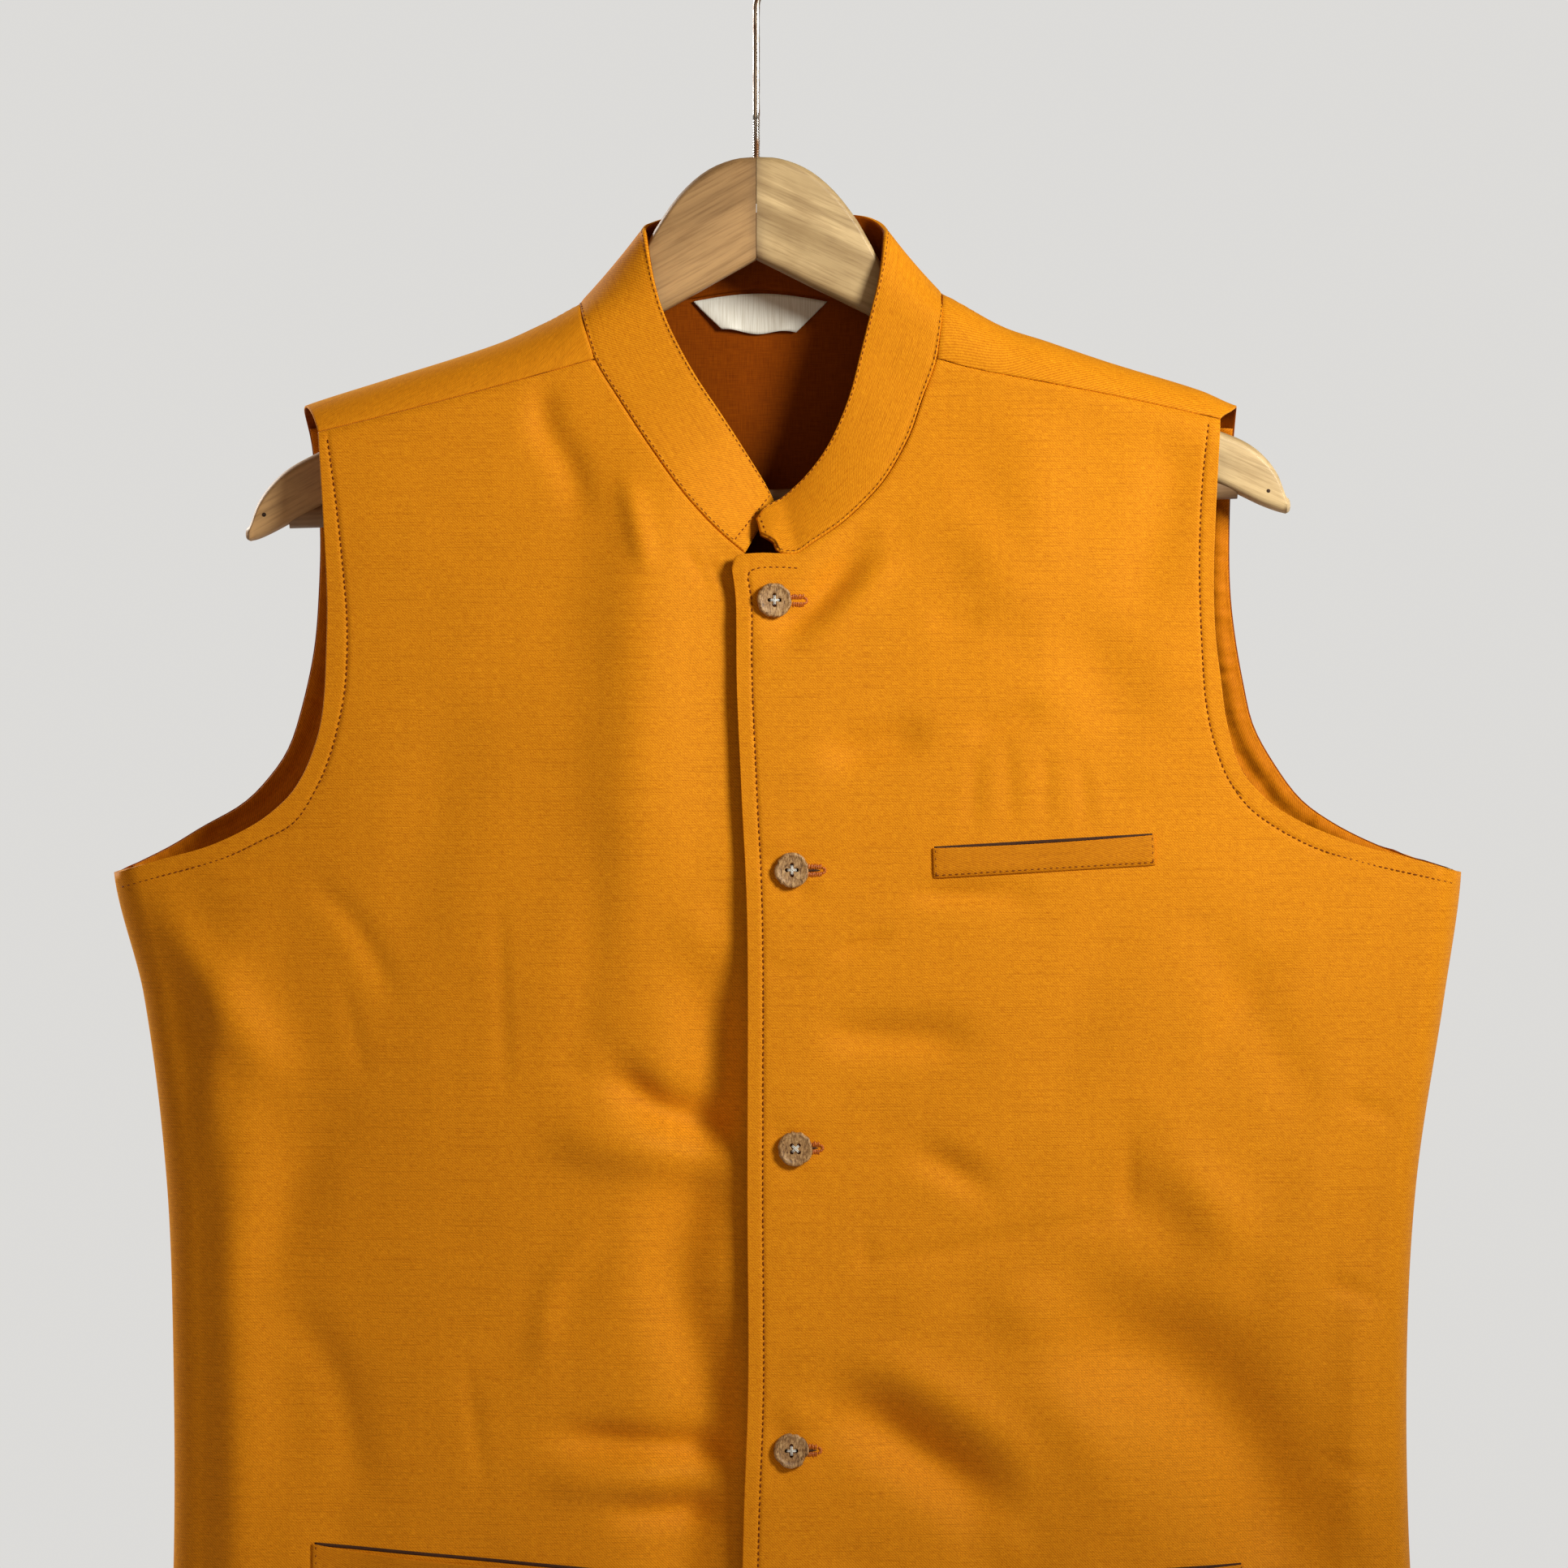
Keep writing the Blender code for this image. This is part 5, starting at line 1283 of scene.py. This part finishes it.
def corner_places(corners, across, up):
    """Places between four corners for shares across and up."""
    low_left, low_right, high_left, high_right = (np.array(corner) for corner in corners)
    s, t = np.asarray(across)[..., None], np.asarray(up)[..., None]
    return (low_left * (1 - s) + low_right * s) * (1 - t) + (high_left * (1 - s) + high_right * s) * t


welt_twill = twill_cloth("welt_twill", (0.44, 0.12, 0.001), (0.78, 0.29, 0.006), -62.0, 0.14)
# A near-black speckle: painted shade inside the pocket openings and the buttonhole slits.
painted_opening_shade = speckled("painted_opening_shade", 1400.0, (0.03, 0.009, 0.002), (0.075, 0.022, 0.003), 0.9)[0]
for name, (side, corners, sag) in WELTS.items():
    place = FRONT_PLACES[side]
    across = np.array([0.0, 0.003, 0.01] + list(np.linspace(0.02, 0.98, 64)) + [0.99, 0.997, 1.0])
    up = np.array([0.0, 0.04] + list(np.linspace(0.12, 0.92, 9)) + [0.97, 1.0])
    s, t = np.meshgrid(across, up)
    spots = corner_places(corners, s, t)
    drop = sag * np.sin(s * math.pi) ** 0.8 * t ** 2
    points = place(spots[..., 0], spots[..., 1])
    points[..., 2] -= drop
    bow = 0.35 * np.sin(s * math.pi) * t
    points[..., 1] -= WELT_OUT - 0.55 * (1 - ease(t * 5)) - 0.3 * (1 - ease(np.minimum(s, 1 - s) * 40)) + bow
    length = np.linalg.norm(np.array(corners[1]) - np.array(corners[0]))
    weave = np.stack([s * length, t * WELT_HEIGHT], axis=-1) * MM
    welt = cloth_object(f"{name}_cloth", points, weave, WELT_CLOTH, -1, (welt_twill,), 0.55)
    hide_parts(name)
    # A thin near-black sheet just under the welt's upper edge is painted shade in the opening.
    slit_rows = np.array([0.94, 0.98, 1.01, 1.05])
    s, t = np.meshgrid(np.linspace(0.008, 0.992, 60), slit_rows)
    spots = corner_places(corners, s, t)
    points = place(spots[..., 0], spots[..., 1])
    points[..., 1] -= CLOTH / 2 + 0.1
    weave = np.stack([s * length, t * WELT_HEIGHT], axis=-1) * MM
    slit = cloth_object(f"{name}_opening", points, weave, 0.12, -1, (painted_opening_shade,))

# The label is a bare strip of cream satin ribbon with slanted ends. It is
# tacked inside the back of the neck by its upper corners, so its lower edge
# waves.
LABEL_CLOTH = 0.5
LABEL_HEIGHT = 14.0
LABEL_CORNERS = ((-15.0, -181.5), (17.0, -182.5), (-27.4, -168.8), (30.4, -168.8))
ribbon, ribbon_tree, ribbon_shader = new_material("cream_ribbon")
ribs = yarn(ribbon_tree, weave_place(ribbon_tree), 0.5, 14.0, 1.0)
set_inputs(ribbon_tree, ribbon_shader, {
    "Base Color": ramp(ribbon_tree, ribs, ((0.3, (0.66, 0.62, 0.54)), (0.6, (0.86, 0.84, 0.78)))),
    "Roughness": 0.42,
    "Sheen Weight": 0.2,
    "Normal": bump_node(ribbon_tree, ribs, 0.35, 0.0002),
})
s, t = np.meshgrid(np.linspace(0.0, 1.0, 61), np.linspace(0.0, 1.0, 13))
spots = corner_places(LABEL_CORNERS, s, t)
shift = 3.4 * np.sin(s * math.pi) * t ** 1.4 + 0.9 * np.sin(s * 8.0 + 1.0) * (1 - t) ** 2
points = back_at(spots[..., 0], spots[..., 1] + shift)
waves = np.sin(s * 9.0 + 0.6) * 0.9 + np.sin(s * 17.0) * 0.35
points[..., 1] -= CLOTH / 2 + 0.75 + LABEL_CLOTH / 2 + (1.1 + 0.7 * waves) * (1 - t) ** 1.3
weave = np.stack([spots[..., 0], t * LABEL_HEIGHT], axis=-1) * MM
label = cloth_object("label_ribbon", points, weave, LABEL_CLOTH, -1, (ribbon,))
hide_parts("label")

# The seams show a lockstitch in a darker thread, ten stitches to 26 mm. Each
# stitch is a short rounded length of thread that sinks in at both ends.
STITCH_PITCH = 2.6
STITCH_LENGTH = 1.75
THREAD_HALF = 0.3
THREAD_LIFT = 0.25
# The hem is turned up and stitched this far above its edge
HEM_STITCH = 24.0
thread, thread_shader = speckled("brown_orange_thread", 2600.0, (0.13, 0.028, 0.002), (0.3, 0.076, 0.004),
                                 0.6, 2.0, 0.3)
thread_shader.inputs["Specular IOR Level"].default_value = 0.15


def surface_frames(place, spots):
    """Points of a panel and its outward normals at places."""
    x, z = np.array([spot[0] for spot in spots]), np.array([spot[1] for spot in spots])
    here = place(x, z)
    rise = place(x, z + PROBE) - place(x, z - PROBE)
    reach = place(x + PROBE, z) - place(x - PROBE, z)
    normals = np.cross(reach, rise)
    return here, normals / np.linalg.norm(normals, axis=-1, keepdims=True)


def even_spots(line, pitch):
    """Places spaced evenly along a line of points."""
    samples, lengths = curve_samples(line, 10)
    wanted = np.linspace(0.0, lengths[-1], max(int(lengths[-1] / pitch), 1) + 1)
    return np.stack([np.interp(wanted, lengths, samples[:, k]) for k in range(samples.shape[1])], axis=-1)


def thread_mesh(name, strands, radius, sides=6):
    """Short strands of thread, each a start, an end and a normal, as one mesh."""
    verts, faces = [], []
    for start, end, normal in strands:
        run = end - start
        length = np.linalg.norm(run)
        run = run / length
        side = np.cross(run, normal)
        side = side / np.linalg.norm(side)
        up = np.cross(side, run)
        first = len(verts)
        for share, thick, rise in ((0.0, 0.3, -0.7), (0.16, 0.85, 0.1), (0.5, 1.0, 0.35), (0.84, 0.85, 0.1),
                                   (1.0, 0.3, -0.7)):
            middle = start + run * length * share + up * radius * rise
            for k in range(sides):
                angle = math.tau * k / sides
                verts.append(middle + (side * math.cos(angle) + up * math.sin(angle) * 0.8) * radius * thick)
        for i in range(4):
            for k in range(sides):
                a, b = first + i * sides + k, first + i * sides + (k + 1) % sides
                faces.append((a, b, b + sides, a + sides))
        faces.append(tuple(reversed(range(first, first + sides))))
        faces.append(tuple(range(first + 4 * sides, first + 5 * sides)))
    return outward_mesh(name, np.array(verts), faces)


def stitched_line(rng, points, normals, out):
    """Strands for a row of stitches between evenly spaced points."""
    strands = []
    for i in range(len(points) - 1):
        run = points[i + 1] - points[i]
        gap = (1.0 - STITCH_LENGTH / np.linalg.norm(run)) / 2
        lean = np.array([rng.uniform(-0.1, 0.1) for _ in range(3)])
        lift = normals[i] * out
        strands.append((points[i] + run * (gap + rng.uniform(-0.05, 0.05)) + lift + lean,
                        points[i + 1] - run * (gap + rng.uniform(-0.05, 0.05)) + lift - lean, normals[i]))
    return strands


def sew(name, place, lines, outward_y, out):
    """Sews lines of places on a panel."""
    rng = random.Random(name)
    strands = []
    for line in lines:
        points, normals = surface_frames(place, even_spots(line, STITCH_PITCH))
        normals = normals * np.sign(normals[:, 1:2] * outward_y)
        strands += stitched_line(rng, points, normals, out)
    sewn = add_object(name, thread_mesh(name, strands, THREAD_HALF), thread)
    return sewn


def hem_line(start_x, column):
    """A level line above the hem, from an edge to just before a side seam."""
    z = HEM_Z + HEM_STITCH
    end_x = float(read_table(BODY_SECTIONS, z, column))
    return ((start_x, z), ((start_x + end_x) / 2, z), (end_x - math.copysign(3.0, end_x), z))


def welt_lines(corners):
    """The stitches along a welt's lower edge and across both its ends."""
    low = [tuple(corner_places(corners, s, 0.1)) for s in (0.004, 0.5, 0.996)]
    left = [tuple(corner_places(corners, 0.012, t)) for t in (0.05, 0.5, 0.98)]
    right = [tuple(corner_places(corners, 0.988, t)) for t in (0.05, 0.5, 0.98)]
    return low, left, right


SKIN = CLOTH / 2
sew("stitches_left_front", left_front_place, (LEFT_ARMHOLE_STITCH, PLACKET_LINE, hem_line(4.0, 2)), -1,
    SKIN + THREAD_LIFT)
sew("stitches_right_front", right_front_place, (RIGHT_ARMHOLE_STITCH, hem_line(-12.0, 1)), -1,
    SKIN + THREAD_LIFT)
back_lines = [[tuple(p) for p in strip_along(armhole, toward, 0.02, 0.99, (9.0,), 40)[0]]
              for armhole, toward in ((BACK_RIGHT_ARMHOLE, 1), (BACK_LEFT_ARMHOLE, -1))]
back_hem_z = HEM_Z + HEM_STITCH
back_lines.append([(-250.0, back_hem_z), (20.0, back_hem_z), (285.0, back_hem_z)])
sew("stitches_back", back_at, back_lines, 1, SKIN)
facing_lines = [[tuple(p) for p in strip_along(armhole, toward, FACING_START + 0.01, FACING_END - 0.01,
                                               (FACING_WIDTH - 2.0,), 40)[0]]
                for armhole, toward in ((BACK_RIGHT_ARMHOLE, 1), (BACK_LEFT_ARMHOLE, -1))]
sew("stitches_facings", back_at, facing_lines, -1, SKIN + FACING_GAP + FACING_CLOTH + 0.55)
for name, (side, corners, _) in WELTS.items():
    sew(f"stitches_{name}", FRONT_PLACES[side], welt_lines(corners), -1, WELT_OUT + WELT_CLOTH / 2 - 0.35)
collar_strands = []
collar_rng = random.Random("collar")
for row in (2, len(collar_rows) - 3):
    line = even_spots([tuple(p) for p in collar_points[row, 4:-4:3]], STITCH_PITCH)
    nearest = [np.argmin(np.linalg.norm(collar_points[row] - p, axis=-1)) for p in line]
    collar_strands += stitched_line(collar_rng, line, collar_normals[row][nearest], COLLAR_CLOTH / 2)
for column in (4, collar_count - 4):
    line = even_spots([tuple(p) for p in collar_points[2:-2:3, column]], STITCH_PITCH)
    nearest = [np.argmin(np.linalg.norm(collar_points[:, column] - p, axis=-1)) for p in line]
    collar_strands += stitched_line(collar_rng, line, collar_normals[nearest, column], COLLAR_CLOTH / 2)
collar_thread = thread_mesh("stitches_collar", collar_strands, THREAD_HALF)
collar_sewing = add_object("stitches_collar", collar_thread, thread)

# The buttonholes are worked by hand in satin stitch of a redder thread, a row
# above and a row below each slit, closed by a fan of stitches at the end.
HOLE_ENDS = (21.9, 29.5, 28.5, 27.8, 27.2)
HOLE_START = -6.5
SATIN_PITCH = 0.62
SATIN_LENGTH = 2.3
SATIN_HALF = 0.3
SATIN_IN = 0.42
FAN_IN, FAN_OUT = 0.5, 1.7
FAN_BACK = 1.4
SLIT_RADIUS = 0.55
satin = speckled("rust_orange_thread", 2200.0, (0.36, 0.075, 0.004), (0.72, 0.2, 0.02), 0.42, 2.0, 0.3)[0]


def hole_strand(first, second, raised):
    """A strand between two places of the left front, raised above its cloth."""
    points, normals = surface_frames(left_front_place, (first, second))
    points = points - np.abs(normals[:, 1:2]) * (0.0, SKIN + raised, 0.0)
    return points[0], points[1], -normals[0] * np.sign(normals[0][1])


satin_strands, slit_strands = [], []
satin_rng = random.Random(11)
for (button_x, button_z), end_x in zip(BUTTON_PLACES, HOLE_ENDS):
    start_x = button_x + HOLE_START
    count = int((end_x - start_x - 1.2) / SATIN_PITCH)
    for i in range(count):
        x = start_x + i * SATIN_PITCH
        for way in (1, -1):
            reach = SATIN_LENGTH * satin_rng.uniform(0.85, 1.15)
            near = (x + satin_rng.uniform(-0.15, 0.15), button_z + way * SATIN_IN)
            far = (x + satin_rng.uniform(-0.25, 0.25), button_z + way * (SATIN_IN + reach))
            satin_strands.append(hole_strand(near, far, 0.2))
    for angle in np.radians(np.linspace(-80, 80, 9)):
        near, far = ((end_x - FAN_BACK + r * math.cos(angle), button_z + r * math.sin(angle))
                     for r in (FAN_IN, FAN_OUT))
        satin_strands.append(hole_strand(near, far, 0.2))
    # A dark strand along each slit is painted shade in the cut.
    slit_strands.append(hole_strand((start_x, button_z), (end_x - FAN_BACK, button_z), 0.1))
buttonholes = add_object("buttonholes", thread_mesh("buttonholes", satin_strands, SATIN_HALF), satin)
slit_mesh = thread_mesh("buttonhole_slit_shades", slit_strands, SLIT_RADIUS)
slits = add_object("buttonhole_slit_shades", slit_mesh, painted_opening_shade)

# The buttons are turned from coconut shell. Their rims are chipped and a
# little uneven, and each is sewn on through four holes with white thread.
BUTTON_STANDOFF = 0.8
BUTTON_SIDES = 96
HOLE_CIRCLE = 2.1
HOLE_RADIUS = 0.85
HOLE_TURNS = (0.0, 0.0, 45.0, 0.0, 20.0)
BUTTON_REACH = 6.0
SHANK_RADIUS = 1.1
# The turned shape: radius, height, how much of a chip reaches it
BUTTON_PROFILE = (
    (0.02, 0, 0), (5.2, 0, 0), (6.6, 0.25, 0.3), (7.3, 0.8, 0.7), (7.5, 1.4, 1), (7.48, 2.1, 1),
    (7.3, 2.6, 1), (6.95, 2.9, 0.9), (6.6, 3, 0.6), (6.2, 2.98, 0.3), (5.8, 2.8, 0.1), (5.4, 2.6, 0),
    (4.6, 2.5, 0), (3.6, 2.45, 0), (2.4, 2.42, 0), (1.2, 2.4, 0), (0.02, 2.4, 0),
)


def coconut_shell():
    """Tan shell with brown fibres that wander and dark cracks."""
    made, tree, shader = new_material("coconut_shell")
    place = object_place(tree)
    fibres = noise_node(tree, mapped(tree, place, (900.0, 260.0, 300.0), (0.0, 0.0, 0.7)), 1.0, 5.0, 0.7, 1.4)
    patches = noise_node(tree, place, 330.0, 4.0, 0.6, 0.8)
    cracks = tree.nodes.new("ShaderNodeTexVoronoi")
    cracks.feature = "DISTANCE_TO_EDGE"
    cracks.inputs["Scale"].default_value = 260.0
    tree.links.new(place, cracks.inputs["Vector"])
    base = ramp(tree, fibres, ((0.36, (0.13, 0.055, 0.014)), (0.5, (0.42, 0.23, 0.088)),
                               (0.62, (0.64, 0.41, 0.19))))
    toned = tinted(tree, base, 0.6, patches, ((0.35, (0.68, 0.58, 0.5)), (0.6, (1, 1, 1))))
    height = math_node(tree, "ADD", fibres, math_node(tree, "MULTIPLY", patches, 0.8))
    set_inputs(tree, shader, {
        "Base Color": tinted(tree, toned, 0.5, cracks.outputs["Distance"],
                             ((0.0, (0.25, 0.18, 0.12)), (0.035, (1, 1, 1)))),
        "Roughness": 0.5,
        "Normal": bump_node(tree, height, 0.5, 0.0003),
    })
    return made


def button_mesh(number):
    """A turned disc with small chips round its rim."""
    rng = random.Random(number)
    chips = [(rng.uniform(0, math.tau), rng.uniform(0.07, 0.22), rng.uniform(0.35, 1.0)) for _ in range(9)]
    rings = []
    for radius, height, share in BUTTON_PROFILE:
        ring = []
        for k in range(BUTTON_SIDES):
            angle = math.tau * k / BUTTON_SIDES
            chip = sum(depth * math.exp(-((math.remainder(angle - middle, math.tau)) / width) ** 2)
                       for middle, width, depth in chips)
            uneven = 0.06 * noise.noise((math.cos(angle) * 4, math.sin(angle) * 4, number))
            near = radius - share * (chip * 0.55 + uneven)
            ring.append((near * math.cos(angle), near * math.sin(angle), height - 0.3 * share * chip))
        rings.append(np.array(ring) - (0.0, GARMENT_LINE_Y, 0.0))
    return ring_mesh(f"button_{number}", rings, 50.0)


def drilled(target, turn):
    """Drills the four sewing holes."""
    pins = bmesh.new()
    for quarter in range(4):
        angle = math.tau * quarter / 4 + math.radians(turn)
        middle = Vector((math.cos(angle), math.sin(angle), 0.0)) * HOLE_CIRCLE * MM
        bmesh.ops.create_cone(pins, cap_ends=True, segments=24, radius1=HOLE_RADIUS * MM,
                              radius2=HOLE_RADIUS * MM, depth=0.02, matrix=Matrix.Translation(middle))
    pin_mesh = bpy.data.meshes.new("pins")
    pins.to_mesh(pin_mesh)
    pins.free()
    cutter = bpy.data.objects.new("pins", pin_mesh)
    bpy.context.scene.collection.objects.link(cutter)
    modifier = target.modifiers.new("drill", "BOOLEAN")
    modifier.solver = "EXACT"
    modifier.object = cutter
    bpy.context.view_layer.update()
    shaped = bpy.data.meshes.new_from_object(target.evaluated_get(bpy.context.evaluated_depsgraph_get()))
    target.modifiers.clear()
    target.data = shaped
    bpy.data.objects.remove(cutter, do_unlink=True)


white_thread = speckled("white_thread", 2400.0, (0.5, 0.48, 0.44), (0.86, 0.85, 0.82), 0.55, 2.0)[0]
shell = coconut_shell()
for number, ((x, z), turn) in enumerate(zip(BUTTON_PLACES, HOLE_TURNS), start=1):
    spot = scalar_place(left_front_place, x, z)
    above, below, beyond, before = (scalar_place(left_front_place, x + BUTTON_REACH * a, z + BUTTON_REACH * b)
                                    for a, b in ((0, 1), (0, -1), (1, 0), (-1, 0)))
    rise, reach = above - below, beyond - before
    outward = Vector(np.cross(reach, rise)).normalized()
    start = Vector(spot) + outward * (CLOTH / 2 + BUTTON_STANDOFF)
    turned = outward.to_track_quat("Z", "Y").to_matrix().to_4x4()
    place = Matrix.Translation(Vector(to_metres(tuple(start)))) @ turned
    button = add_object(f"button_{number}_shell", button_mesh(number), shell)
    drilled(button, turn + 90.0 * (number == 1))
    button.data.transform(place)
    button.data.update()
    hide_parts(f"button_{number}")
    strands = []
    for pair in range(2):
        angle = math.radians(turn + 90.0 * pair)
        across = Vector((math.cos(angle), math.sin(angle), 0.0))
        beside = Vector((-across.y, across.x, 0.0))
        for shift in (-0.28, 0.28):
            out = Vector((0, 0, 2.5 + 0.18 * pair))
            ends = [across * side * HOLE_CIRCLE + beside * shift + out for side in (-1, 1)]
            strands.append((np.array(ends[0]), np.array(ends[1]), np.array((0.0, 0.0, 1.0))))
    sewn = thread_mesh(f"button_{number}_thread", [(a - (0, GARMENT_LINE_Y, 0), b - (0, GARMENT_LINE_Y, 0), n)
                                                   for a, b, n in strands], 0.28, 8)
    sewn.transform(place)
    thread_object = add_object(f"button_{number}_thread", sewn, white_thread)
    shank = [Vector(spot) + outward * 0.2, start + outward * 0.6]
    shank_rings = tube_rings(shank, lambda i, p, a: SHANK_RADIUS, 12, Vector((1.0, 0.0, 0.0)))
    shank_mesh = ring_mesh(f"button_{number}_shank", shank_rings)
    add_object(f"button_{number}_shank", shank_mesh, white_thread)
